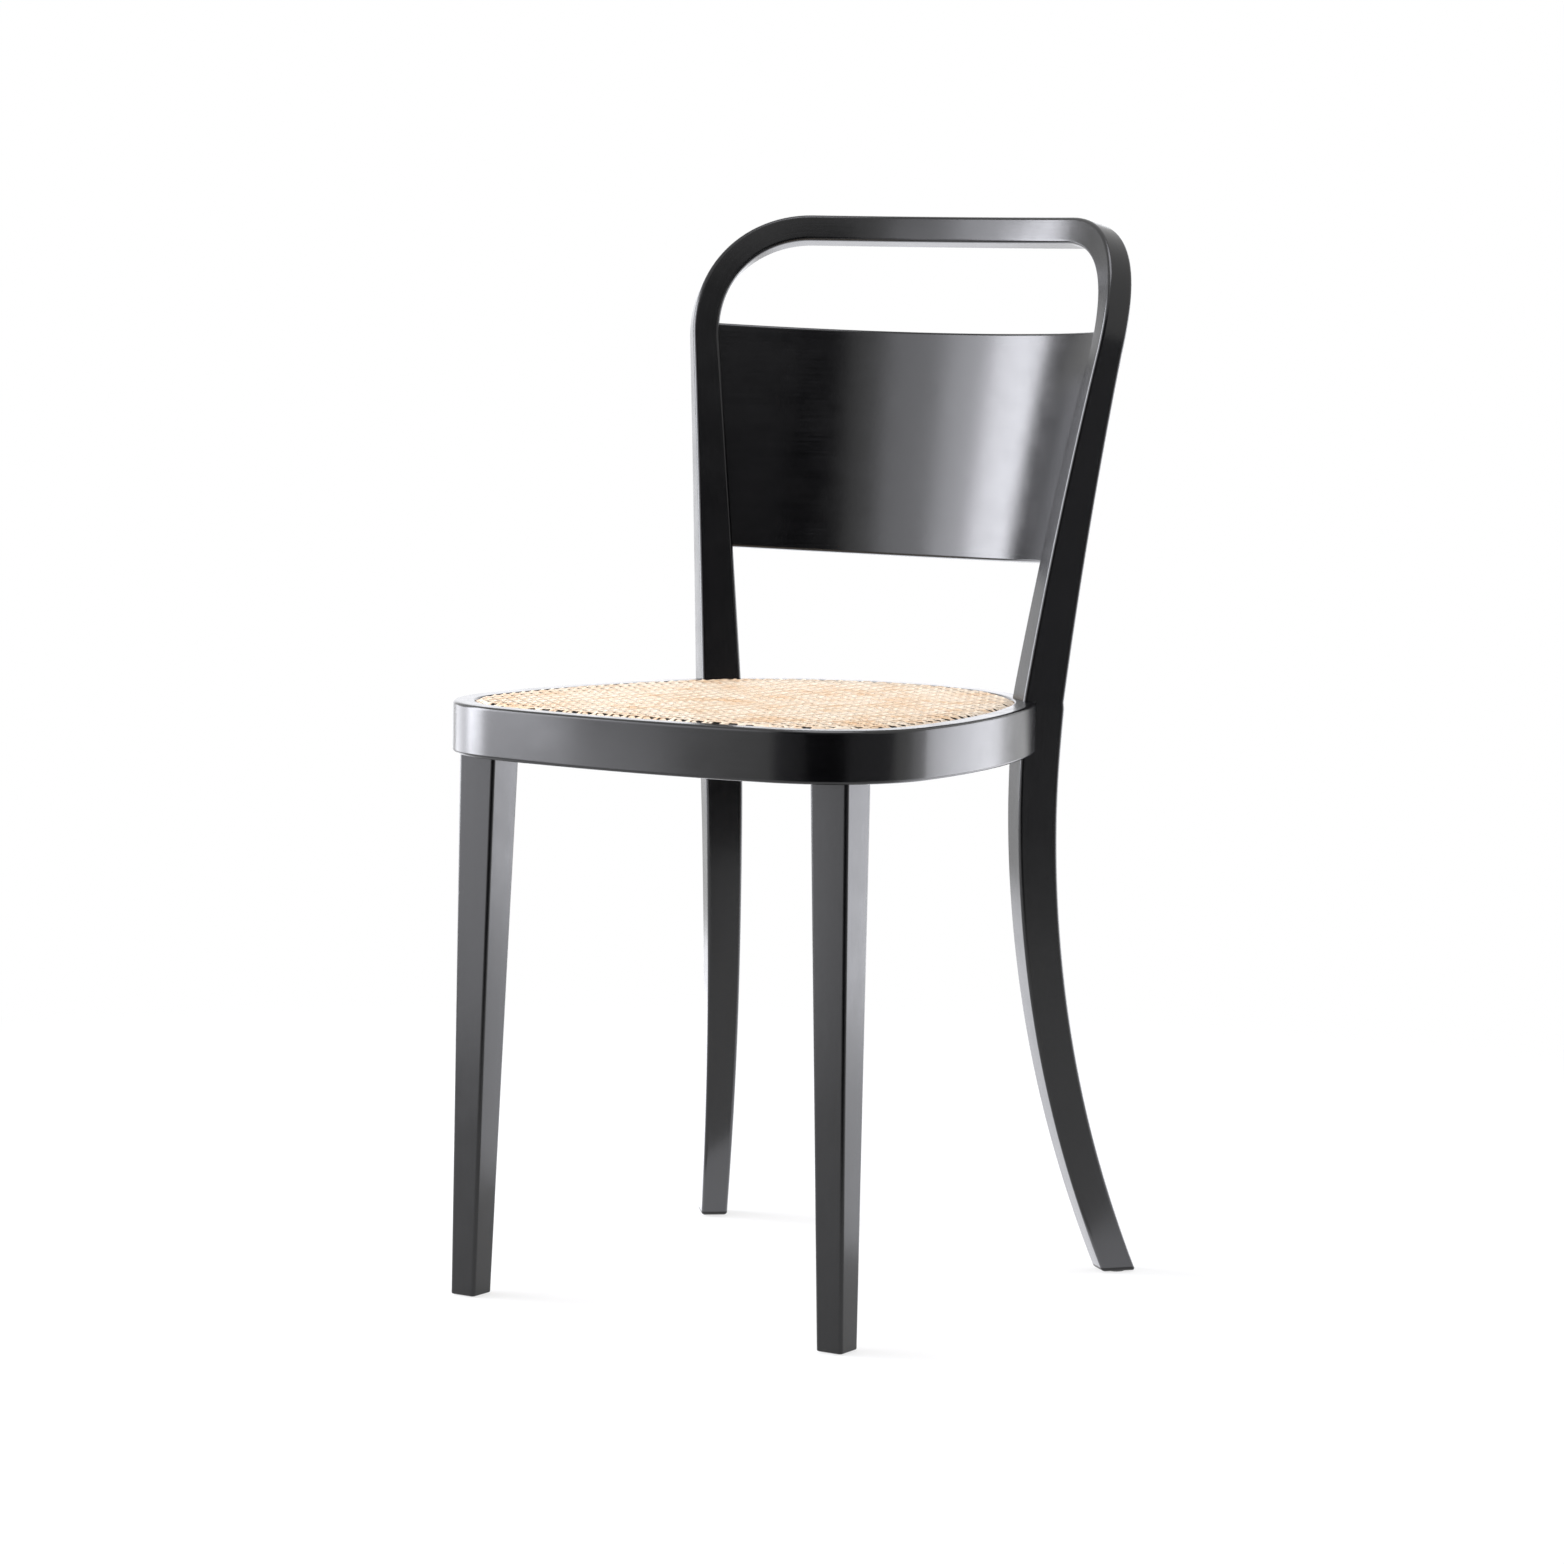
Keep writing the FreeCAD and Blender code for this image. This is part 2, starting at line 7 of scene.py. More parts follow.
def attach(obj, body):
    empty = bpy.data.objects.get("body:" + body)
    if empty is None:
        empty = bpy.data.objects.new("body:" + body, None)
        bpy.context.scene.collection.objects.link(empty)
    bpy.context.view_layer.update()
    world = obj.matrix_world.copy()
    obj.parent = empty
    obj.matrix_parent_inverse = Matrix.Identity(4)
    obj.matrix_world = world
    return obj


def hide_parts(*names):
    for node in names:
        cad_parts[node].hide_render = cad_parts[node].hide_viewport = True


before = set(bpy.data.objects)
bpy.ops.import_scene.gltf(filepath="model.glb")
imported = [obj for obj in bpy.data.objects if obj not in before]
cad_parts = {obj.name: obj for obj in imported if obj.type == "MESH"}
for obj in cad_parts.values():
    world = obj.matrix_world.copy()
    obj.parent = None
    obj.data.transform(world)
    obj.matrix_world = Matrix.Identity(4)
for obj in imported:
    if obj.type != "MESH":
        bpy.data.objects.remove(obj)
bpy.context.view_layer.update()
print("frame loaded:", len(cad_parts), "nodes")

hair = 0.0001           # places closer than this, in metres, count as one
facing = 0.9            # share of an axis in a normal, from which a face counts as facing along it
sharp = 50              # edges that turn by more than this, in degrees, are rounded
noiseSpan = {"From Min": 0.3, "From Max": 0.7}      # noise seldom leaves it


def linear(hexColour):
    parts = [int(hexColour[i:i + 2], 16) / 255 for i in (1, 3, 5)]
    return [c / 12.92 if c <= 0.04045 else ((c + 0.055) / 1.055) ** 2.4 for c in parts] + [1.0]


def deselectAll():
    if bpy.context.object and bpy.context.object.mode != "OBJECT":
        bpy.ops.object.mode_set(mode="OBJECT")
    bpy.ops.object.select_all(action="DESELECT")


def activate(piece):
    deselectAll()
    piece.select_set(True)
    bpy.context.view_layer.objects.active = piece


def startEdit(kind="VERT"):
    bpy.ops.object.mode_set(mode="EDIT")
    bpy.ops.mesh.select_mode(type=kind)


def endEdit():
    bpy.ops.object.mode_set(mode="OBJECT")


def editAll():
    startEdit()
    bpy.ops.mesh.select_all(action="SELECT")


def faceOutwards(piece):
    activate(piece)
    editAll()
    bpy.ops.mesh.normals_make_consistent(inside=False)
    endEdit()


# selects faces, edges or corners of the active piece by a test, and stays in edit mode
def pick(piece, kind, test):
    endEdit()
    startEdit(kind)
    bpy.ops.mesh.select_all(action="DESELECT")
    endEdit()
    mesh = piece.data
    for element in {"VERT": mesh.vertices, "EDGE": mesh.edges, "FACE": mesh.polygons}[kind]:
        element.select = test(element)
    startEdit(kind)


def pickSharp():
    startEdit("EDGE")
    bpy.ops.mesh.select_all(action="DESELECT")
    bpy.ops.mesh.edges_select_sharp(sharpness=math.radians(sharp))


# true for an edge that lies in the sole of a foot
def inSole(piece, edge, footZ):
    return all(piece.data.vertices[i].co.z < footZ + hair for i in edge.vertices)


# how far apart the two ends of an edge lie along one axis
def edgeSpan(piece, edge, axis):
    first, second = (piece.data.vertices[i].co[axis] for i in edge.vertices)
    return abs(first - second)


def roundEdges(size, segments):
    bpy.ops.mesh.bevel(offset=size, segments=segments, profile=0.5, affect="EDGES")


def applyModifier(piece, kind, **settings):
    activate(piece)
    modifier = piece.modifiers.new(kind.lower(), kind)
    for name, value in settings.items():
        setattr(modifier, name, value)
    bpy.ops.object.modifier_apply(modifier=modifier.name)


def mirrorHalf(piece):
    applyModifier(piece, "MIRROR", use_clip=True, merge_threshold=2 * hair)


# cuts a tool body from a piece or joins it on, and clears the tool away
def combine(piece, tool, operation, solver):
    applyModifier(piece, "BOOLEAN", operation=operation, solver=solver, object=tool)
    bpy.data.objects.remove(tool)


def applyPlace(piece):
    activate(piece)
    bpy.ops.object.transform_apply(location=True, rotation=True, scale=True)


def joinPieces(pieces, name):
    deselectAll()
    for piece in pieces:
        piece.select_set(True)
    bpy.context.view_layer.objects.active = pieces[0]
    bpy.ops.object.join()
    joined = bpy.context.object
    joined.name = joined.data.name = name
    return joined


def softShade(piece, angle=35):
    activate(piece)
    bpy.ops.object.shade_smooth_by_angle(angle=math.radians(angle))


# flat faces keep their own normals, so that only the roundings catch the light
def flatFaces(piece):
    applyModifier(piece, "WEIGHTED_NORMAL", mode="FACE_AREA", weight=50, keep_sharp=True)


def finishPiece(piece, material, slot, *nodes):
    piece.data.materials.clear()
    piece.data.materials.append(material)
    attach(piece, "root")
    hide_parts(*nodes)
    print(piece.name, len(piece.data.polygons), "faces")


# smooth curve through a few given values: a natural cubic spline
def smoothThrough(places, values):
    x, y = np.array(places, float), np.array(values, float)
    gaps, rises = np.diff(x), np.diff(y)
    system = np.eye(len(x))
    target = np.zeros(len(x))
    for i in range(1, len(x) - 1):
        system[i, i - 1:i + 2] = gaps[i - 1], 2 * (gaps[i - 1] + gaps[i]), gaps[i]
        target[i] = 6 * (rises[i] / gaps[i] - rises[i - 1] / gaps[i - 1])
    bends = np.linalg.solve(system, target)

    def value(at):
        i = int(min(max(np.searchsorted(x, at) - 1, 0), len(gaps) - 1))
        a, b = x[i + 1] - at, at - x[i]
        return ((bends[i] * a ** 3 + bends[i + 1] * b ** 3) / (6 * gaps[i])
                + (y[i] / gaps[i] - bends[i] * gaps[i] / 6) * a
                + (y[i + 1] / gaps[i] - bends[i + 1] * gaps[i] / 6) * b)
    return value


# a node with its own settings, the values of its sockets, and what feeds them
def addNode(tree, kind, settings=None, values=None, links=None):
    node = tree.nodes.new(kind)
    for name, value in (settings or {}).items():
        setattr(node, name, value)
    for name, value in (values or {}).items():
        node.inputs[name].default_value = value
    for name, source in (links or {}).items():
        tree.links.new(source, node.inputs[name])
    return node


def newMaterial(name):
    material = bpy.data.materials.new(name)
    material.use_nodes = True
    material.node_tree.nodes.clear()
    return material, material.node_tree


def setStops(ramp, places, colours):
    elements = ramp.color_ramp.elements
    while len(elements) < len(places):
        elements.new(0.5)
    for element, place, colour in zip(elements, places, colours):
        element.position = place
        element.color = linear(colour)


# Satin polyurethane lacquer sprayed over black-stained beech. The film levels out the pores,
# so the wood shows only as faint lines along the grain when light rakes over it.
lacquer = {
    "colour": "#040405",
    "wornColour": "#0b0b0d",    # over the pores
    "toneStops": (0.35, 0.8),   # where the pore pattern starts and ends to change the colour
    "roughness": (0.16, 0.22),
    "brushing": 0.07,           # rougher along the pores, which streaks the highlights
    "ior": 1.5,
    "poreWidth": 0.0012,        # beech pores and rays, drawn coarser than their 0.2 mm so that they show
    "poreLength": 0.045,
    "poreDepth": 0.000015,
    "peelSize": 0.006,          # orange peel of the sprayed film
    "peelDepth": 0.00002,
    "waveSize": 0.07,           # slow unevenness left by sanding
    "waveDepth": 0.00009,
    "hazeSize": 0.03,           # patches where the film is a little duller
}


def lacqueredWood(name, spec, coordinates="attribute"):
    material, tree = newMaterial(name)
    if coordinates == "attribute":
        place = addNode(tree, "ShaderNodeAttribute", {"attribute_name": "grain"}).outputs["Vector"]
    else:
        place = addNode(tree, "ShaderNodeTexCoord").outputs["Object"]
    across = 1 / spec["poreWidth"]
    stretched = addNode(tree, "ShaderNodeMapping", values={"Scale": (1 / spec["poreLength"], across, across)},
                        links={"Vector": place})
    pores = addNode(tree, "ShaderNodeTexNoise", values={"Scale": 1, "Detail": 3, "Roughness": 0.6},
                    links={"Vector": stretched.outputs["Vector"]})
    peel = addNode(tree, "ShaderNodeTexNoise", values={"Scale": 1 / spec["peelSize"], "Detail": 1},
                   links={"Vector": place})
    wave = addNode(tree, "ShaderNodeTexNoise", values={"Scale": 1 / spec["waveSize"], "Detail": 1},
                   links={"Vector": place})
    haze = addNode(tree, "ShaderNodeTexNoise", values={
        "Scale": 1 / spec["hazeSize"], "Detail": 4, "Roughness": 0.6}, links={"Vector": place})
    low, high = spec["roughness"]
    gloss = addNode(tree, "ShaderNodeMapRange", values={**noiseSpan, "To Min": low, "To Max": high},
                    links={"Value": haze.outputs["Fac"]})
    brushed = addNode(tree, "ShaderNodeMath", {"operation": "MULTIPLY_ADD"}, {1: spec["brushing"]},
                      links={0: pores.outputs["Fac"], 2: gloss.outputs["Result"]})
    tint = addNode(tree, "ShaderNodeValToRGB", links={"Fac": pores.outputs["Fac"]})
    setStops(tint, spec["toneStops"], (spec["colour"], spec["wornColour"]))
    slow = addNode(tree, "ShaderNodeBump", values={"Strength": 1, "Distance": spec["waveDepth"]},
                   links={"Height": wave.outputs["Fac"]})
    film = addNode(tree, "ShaderNodeBump", values={"Strength": 1, "Distance": spec["peelDepth"]},
                   links={"Height": peel.outputs["Fac"], "Normal": slow.outputs["Normal"]})
    grain = addNode(tree, "ShaderNodeBump", values={"Strength": 1, "Distance": spec["poreDepth"]},
                    links={"Height": pores.outputs["Fac"], "Normal": film.outputs["Normal"]})
    shader = addNode(tree, "ShaderNodeBsdfPrincipled", values={"IOR": spec["ior"]}, links={
        "Base Color": tint.outputs["Color"], "Roughness": brushed.outputs["Value"],
        "Normal": grain.outputs["Normal"]})
    addNode(tree, "ShaderNodeOutputMaterial", links={"Surface": shader.outputs["BSDF"]})
    return material


lacqueredBeech = lacqueredWood("lacqueredBeech", lacquer)
lacqueredPlywood = lacqueredWood("lacqueredPlywood", lacquer)
# The frame under the cane has one thin matt coat, so the gaps between the strands stay dark
thinCoat = {**lacquer, "roughness": (0.6, 0.7), "ior": 1.2}
lacqueredFrame = lacqueredWood("lacqueredFrame", thinCoat, "object")

# Rattan skin split into strands: pale straw with a natural gloss on the outside,
# fine lines along the strand, some strands darker than others, and warm patches over the whole seat
rattan = {
    "colours": ("#f0e3d0", "#e5d1b6", "#c9a07a"),   # pale, straw, amber
    "colourStops": (0.3, 0.58, 0.78),
    "strandStretch": (12, 0, 400),      # shade changes slowly along a strand and at once from strand to strand
    "fibreWidth": 0.00035,      # bundles of vessels in the skin
    "fibreLength": 0.02,
    "fibreDepth": 0.00008,
    "patchSize": 0.03,
    "patchTints": ("#ffffff", "#f3dcc0"),
    "patchStops": (0.45, 0.75),
    "roughness": (0.34, 0.5),
    "ior": 1.45,
}


def wovenCane(name, spec):
    material, tree = newMaterial(name)
    place = addNode(tree, "ShaderNodeAttribute", {"attribute_name": "grain"}).outputs["Vector"]
    across = 1 / spec["fibreWidth"]
    stretched = addNode(tree, "ShaderNodeMapping", values={"Scale": (1 / spec["fibreLength"], across, across)},
                        links={"Vector": place})
    fibre = addNode(tree, "ShaderNodeTexNoise", values={"Scale": 1, "Detail": 2},
                    links={"Vector": stretched.outputs["Vector"]})
    # each strand has its own number in the third coordinate, so it gets its own shade
    strandPlace = addNode(tree, "ShaderNodeMapping", values={"Scale": spec["strandStretch"]},
                          links={"Vector": place})
    strandShade = addNode(tree, "ShaderNodeTexNoise", values={"Scale": 1, "Detail": 2, "Roughness": 0.6},
                          links={"Vector": strandPlace.outputs["Vector"]})
    patches = addNode(tree, "ShaderNodeTexNoise", values={"Scale": 1 / spec["patchSize"], "Detail": 3},
                      links={"Vector": addNode(tree, "ShaderNodeTexCoord").outputs["Object"]})
    shade = addNode(tree, "ShaderNodeValToRGB", links={"Fac": strandShade.outputs["Fac"]})
    setStops(shade, spec["colourStops"], spec["colours"])
    warm = addNode(tree, "ShaderNodeValToRGB", links={"Fac": patches.outputs["Fac"]})
    setStops(warm, spec["patchStops"], spec["patchTints"])
    colour = addNode(tree, "ShaderNodeMix", {"data_type": "RGBA", "blend_type": "MULTIPLY"}, {"Factor": 1.0},
                     {6: shade.outputs["Color"], 7: warm.outputs["Color"]})
    low, high = spec["roughness"]
    gloss = addNode(tree, "ShaderNodeMapRange", values={**noiseSpan, "To Min": low, "To Max": high},
                    links={"Value": fibre.outputs["Fac"]})
    ridges = addNode(tree, "ShaderNodeBump", values={"Strength": 0.6, "Distance": spec["fibreDepth"]},
                     links={"Height": fibre.outputs["Fac"]})
    shader = addNode(tree, "ShaderNodeBsdfPrincipled", values={"IOR": spec["ior"]}, links={
        "Base Color": colour.outputs[2], "Roughness": gloss.outputs["Result"],
        "Normal": ridges.outputs["Normal"]})
    addNode(tree, "ShaderNodeOutputMaterial", links={"Surface": shader.outputs["BSDF"]})
    return material


naturalCane = wovenCane("naturalCane", rattan)

# Planed beech without finish: pinkish straw, straight grain and short darker ray flecks
beech = {
    "colours": ("#d9b48a", "#b98a5e"),
    "colourStops": (0.35, 0.7),
    "grainWidth": 0.0025,
    "grainLength": 0.08,
    "grainDepth": 0.0001,
    "fleckColour": "#8f6238",
    "fleckStretch": (1600, 260, 1600),  # flecks about 0.6 mm wide and 4 mm long
    "fleckStops": (0.62, 0.75),
    "fleckStrength": 0.6,
    "roughness": (0.5, 0.65),
    "ior": 1.45,
}


def bareBeech(name, spec):
    material, tree = newMaterial(name)
    place = addNode(tree, "ShaderNodeTexCoord").outputs["Object"]
    across = 1 / spec["grainWidth"]
    along = addNode(tree, "ShaderNodeMapping", values={"Scale": (across, 1 / spec["grainLength"], across)},
                    links={"Vector": place})
    grain = addNode(tree, "ShaderNodeTexNoise", values={"Scale": 1, "Detail": 4, "Roughness": 0.55},
                    links={"Vector": along.outputs["Vector"]})
    rays = addNode(tree, "ShaderNodeMapping", values={"Scale": spec["fleckStretch"]}, links={"Vector": place})
    flecks = addNode(tree, "ShaderNodeTexNoise", values={"Scale": 1, "Detail": 1},
                     links={"Vector": rays.outputs["Vector"]})
    wood = addNode(tree, "ShaderNodeValToRGB", links={"Fac": grain.outputs["Fac"]})
    setStops(wood, spec["colourStops"], spec["colours"])
    first, last = spec["fleckStops"]
    spots = addNode(tree, "ShaderNodeMapRange", values={
        "From Min": first, "From Max": last, "To Min": 0, "To Max": spec["fleckStrength"]},
        links={"Value": flecks.outputs["Fac"]})
    colour = addNode(tree, "ShaderNodeMix", {"data_type": "RGBA"}, {7: linear(spec["fleckColour"])},
                     {"Factor": spots.outputs["Result"], 6: wood.outputs["Color"]})
    relief = addNode(tree, "ShaderNodeBump", values={"Strength": 0.5, "Distance": spec["grainDepth"]},
                     links={"Height": grain.outputs["Fac"]})
    low, high = spec["roughness"]
    gloss = addNode(tree, "ShaderNodeMapRange", values={**noiseSpan, "To Min": low, "To Max": high},
                    links={"Value": grain.outputs["Fac"]})
    shader = addNode(tree, "ShaderNodeBsdfPrincipled", values={"IOR": spec["ior"]}, links={
        "Base Color": colour.outputs[2], "Roughness": gloss.outputs["Result"],
        "Normal": relief.outputs["Normal"]})
    addNode(tree, "ShaderNodeOutputMaterial", links={"Surface": shader.outputs["BSDF"]})
    return material


plainBeech = bareBeech("planedBeech", beech)


# Metals and nylon: turned or plated surfaces with faint scratches and handling marks
hardware = {
    "toneStops": (0.35, 0.7),
    "scratchDepth": 0.00003,
    "zincPlatedSteel": {"colours": ("#b9bcc0", "#8f9398"), "metallic": 1, "roughness": (0.3, 0.48),
                        "scratchSize": 0.0015},
    "turnedBrass": {"colours": ("#c9a45a", "#a07a35"), "metallic": 1, "roughness": (0.28, 0.42),
                    "scratchSize": 0.0015},
    "mouldedNylon": {"colours": ("#1b1b1c", "#2a2a2b"), "metallic": 0, "roughness": (0.5, 0.65),
                     "scratchSize": 0.002},
}


def smallHardware(name):
    spec = hardware[name]
    material, tree = newMaterial(name)
    place = addNode(tree, "ShaderNodeTexCoord").outputs["Object"]
    marks = addNode(tree, "ShaderNodeTexNoise", values={
        "Scale": 1 / spec["scratchSize"], "Detail": 4, "Roughness": 0.7}, links={"Vector": place})
    tone = addNode(tree, "ShaderNodeValToRGB", links={"Fac": marks.outputs["Fac"]})
    setStops(tone, hardware["toneStops"], spec["colours"])
    low, high = spec["roughness"]
    gloss = addNode(tree, "ShaderNodeMapRange", values={**noiseSpan, "To Min": low, "To Max": high},
                    links={"Value": marks.outputs["Fac"]})
    relief = addNode(tree, "ShaderNodeBump", values={"Strength": 0.3, "Distance": hardware["scratchDepth"]},
                     links={"Height": marks.outputs["Fac"]})
    shader = addNode(tree, "ShaderNodeBsdfPrincipled", values={"Metallic": spec["metallic"]}, links={
        "Base Color": tone.outputs["Color"], "Roughness": gloss.outputs["Result"],
        "Normal": relief.outputs["Normal"]})
    addNode(tree, "ShaderNodeOutputMaterial", links={"Surface": shader.outputs["BSDF"]})
    return material


# The pieces that stay as the CAD has them, by what they are made of
hiddenPieces = (
    (lacqueredFrame, ("seat_frame",)),
    (plainBeech, ("cane_spline", "front_block_left", "front_block_right", "rear_block_left",
                  "rear_block_right", "side_cleat_left", "side_cleat_right", "rear_dowels")),
    (smallHardware("zincPlatedSteel"), ("front_block_screws", "leg_lock_screws", "cleat_screws", "frame_screws",
                                        "rear_bolts", "rear_bolt_washers", "glide_nails")),
    (smallHardware("turnedBrass"), ("rear_inserts",)),
    (smallHardware("mouldedNylon"), ("leg_glides",)),
)
for material, names in hiddenPieces:
    for name in names:
        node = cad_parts[name]
        node.data.materials.clear()
        node.data.materials.append(material)
print("materials ready")

# The bent back surface that hoop and panel lie on, in metres

back = {
    "axisY": -0.044885,         # axis of the back's curve at the seat
    "lean": 0.0403,             # the axis moves forward with height
    "radius": 0.2219,           # at the seat
    "flare": 0.166,             # the radius grows with height above the seat, first by this slope
    "curl": 0.1215,             # and then faster, with the height squared
    "bearing": 43.07,           # of the posts, in degrees from straight back
    "seatTop": 0.467,
}


def backRadius(z):
    rise = z - back["seatTop"]
    return back["radius"] + back["flare"] * rise + back["curl"] * rise * rise


def backSlope(z):
    return back["flare"] + 2 * back["curl"] * (z - back["seatTop"])


def backAxisY(z):
    return back["axisY"] - back["lean"] * max(z - back["seatTop"], 0)


def backPoint(bearing, radius, z):
    turn = math.radians(bearing)
    return Vector((radius * math.sin(turn), backAxisY(z) + radius * math.cos(turn), z))


# Seat ring

ring = {
    "top": 0.467,
    "height": 0.040,
    "thickness": 0.017,
    "frontY": -0.253,
    "middleY": -0.03,                             # a place well inside, to tell the outer side from the inner
    "radii": (0.788, 0.0984, 0.558, 0.18431),     # front, corner, side, rear arcs of the outer wall
    "headings": (9.1, 87.3, 110.5),               # where they meet, in degrees from +X
    "outerRound": 0.003,
    "innerRound": 0.002,
    "roundSegments": 5,
    "arcSteps": (16, 22, 20, 36),
}


def ringArcs():
    front, corner, side, rear = ring["radii"]
    a, b, c = (math.radians(h) for h in ring["headings"])

    def offset(radius, heading):
        return Vector((radius * math.sin(heading), -radius * math.cos(heading), 0))
    frontCentre = Vector((0, ring["frontY"] + front, 0))
    cornerCentre = frontCentre + offset(front - corner, a)
    sideCentre = cornerCentre + offset(corner - side, b)
    rearCentre = sideCentre + offset(side - rear, c)
    rearCentre.x = 0
    return [(frontCentre, front, 0, a), (cornerCentre, corner, a, b), (sideCentre, side, b, c),
            (rearCentre, rear, c, math.pi)]


# closed outline of the ring's plan at an inset from its outer wall, as plain points
def ringOutline(inset):
    points = []
    for (centre, radius, first, last), steps in zip(ringArcs(), ring["arcSteps"]):
        for i in range(steps):
            heading = first + (last - first) * i / steps
            points.append((centre.x + (radius - inset) * math.sin(heading),
                           centre.y - (radius - inset) * math.cos(heading)))
    points.append((0, ringArcs()[3][0].y + ring["radii"][3] - inset))
    return points + [(-x, y) for x, y in reversed(points[1:-1])]


def makeRing():
    # one upright strip at the middle of the front, swung round the four arcs of the right half
    bottom = ring["top"] - ring["height"]
    middle = (0, ring["frontY"] + ring["thickness"] / 2, (ring["top"] + bottom) / 2)
    bpy.ops.mesh.primitive_plane_add(size=1, location=middle, rotation=(0, math.pi / 2, 0))
    piece = bpy.context.object
    piece.name = "seatRing"
    piece.scale = (ring["height"], ring["thickness"], 1)
    applyPlace(piece)
    editAll()
    for (centre, radius, first, last), steps in zip(ringArcs(), ring["arcSteps"]):
        bpy.ops.mesh.spin(steps=steps, angle=-(last - first), center=centre, axis=(0, 0, 1))
    pick(piece, "FACE", lambda f: abs(f.center.x) < hair and abs(f.normal.x) > facing)
    bpy.ops.mesh.delete(type="FACE")
    endEdit()
    mirrorHalf(piece)
    editAll()
    bpy.ops.mesh.remove_doubles(threshold=hair / 2)
    endEdit()
    faceOutwards(piece)
    return piece


def roundRingEdges(piece):
    mid = ringOutline(ring["thickness"] / 2)

    def isOutside(point):
        nearest = min(mid, key=lambda m: (m[0] - point.x) ** 2 + (m[1] - point.y) ** 2)
        outwardX, outwardY = nearest[0], nearest[1] - ring["middleY"]
        return (point.x - nearest[0]) * outwardX + (point.y - nearest[1]) * outwardY > 0

    def onRim(point):
        return min(abs(point.z - ring["top"]), abs(point.z - ring["top"] + ring["height"])) < hair / 10
    for size in ("outerRound", "innerRound"):
        def longEdge(edge):
            a, b = (piece.data.vertices[i].co for i in edge.vertices)
            level = abs(a.z - b.z) < hair / 10 and onRim(a)
            return level and isOutside(a) == isOutside(b) == (size == "outerRound")
        pick(piece, "EDGE", longEdge)
        roundEdges(ring[size], ring["roundSegments"])
    endEdit()


deselectAll()
seatRing = makeRing()
roundRingEdges(seatRing)
print("seat ring bent")

# Back hoop: rail, posts and rear legs in one, in metres

hoop = {
    "top": 0.850,
    "railHeight": 0.0218,
    "railDepth": 0.021,
    "cornerRadius": 0.0955,
    "postWidth": 0.0326,
    "postDepth": 0.0338,
    "footWidth": 0.022,
    "footDepth": 0.0268,
    "round": 0.003,
    "roundSegments": 5,
    "footRound": 0.0012,
    "footSegments": 2,
    "footZ": 0.0008,            # the glides carry the chair this far above the floor
    # rear leg: share of the seat height, outward offset in metres, change of bearing in degrees
    "sweep": [(-0.04, 0.0914, -3.37), (0, 0.0832, -3.32), (0.2174, 0.0449, -3.02), (0.4348, 0.0183, -2.47),
              (0.652, 0.003, -1.67), (0.87, -0.0013, -0.79), (1, 0.0008, 0)],
    "overrun": 0.02,            # the leg is drawn this share too long and cut level
    "legSteps": 84,
    "footSteps": 4,             # no section within these, where the foot's corners are rounded
    "postSteps": 40,
    "cornerSteps": 28,
    "railSteps": 14,
    "notchGap": 0.0003,         # air round the ring in its notches
}

# the rail's section is turned with the leaning back, so its middle lies more than half its height below the top
railTilt = math.atan(backSlope(hoop["top"] - hoop["railHeight"] / 2))
railZ = hoop["top"] - hoop["railHeight"] / 2 * math.cos(railTilt) - hoop["railDepth"] / 2 * math.sin(railTilt)
cornerDrop = hoop["cornerRadius"] * math.cos(railTilt)
shoulderZ = railZ - cornerDrop


def between(low, high, z, start, end):
    return start + (end - start) * min(max((z - low) / (high - low), 0), 1)


# the section tapers from the seat down to the foot and up to the rail's corner
def taper(z, foot, post, rail):
    if z < back["seatTop"]:
        return between(0, back["seatTop"], z, hoop[foot], hoop[post])
    return between(back["seatTop"], shoulderZ, z, hoop[post], hoop[rail])


def hoopWidth(z):
    return taper(z, "footWidth", "postWidth", "railHeight")


def hoopDepth(z):
    return taper(z, "footDepth", "postDepth", "railDepth")


# centre line of the right half from the foot to the middle of the rail, with bearing and slope
def hoopLine():
    shares, outs, turns = zip(*hoop["sweep"])
    outward, turn = smoothThrough(shares, outs), smoothThrough(shares, turns)
    line = []
    for i in [0] + list(range(hoop["footSteps"], hoop["legSteps"])):
        share = -hoop["overrun"] + (1 + hoop["overrun"]) * i / hoop["legSteps"]
        z = share * back["seatTop"]
        bearing = back["bearing"] + turn(share)
        line.append((backPoint(bearing, back["radius"] + outward(share), z), bearing, 0.0))
    for i in range(hoop["postSteps"]):
        z = back["seatTop"] + (shoulderZ - back["seatTop"]) * i / hoop["postSteps"]
        line.append((backPoint(back["bearing"], backRadius(z), z), back["bearing"], backSlope(z)))
    railRadius = backRadius(railZ)
    railHalf = math.radians(back["bearing"]) * railRadius - hoop["cornerRadius"]
    for i in range(hoop["cornerSteps"]):
        angle = math.pi / 2 * (1 - i / hoop["cornerSteps"])
        z = railZ - cornerDrop * (1 - math.cos(angle))
        bearing = math.degrees((railHalf + hoop["cornerRadius"] * math.sin(angle)) / railRadius)
        line.append((backPoint(bearing, backRadius(z), z), bearing, backSlope(z)))
    for i in range(hoop["railSteps"] + 1):
        bearing = math.degrees(railHalf / railRadius) * (1 - i / hoop["railSteps"])
        line.append((backPoint(bearing, railRadius, railZ), bearing, backSlope(railZ)))
    return line


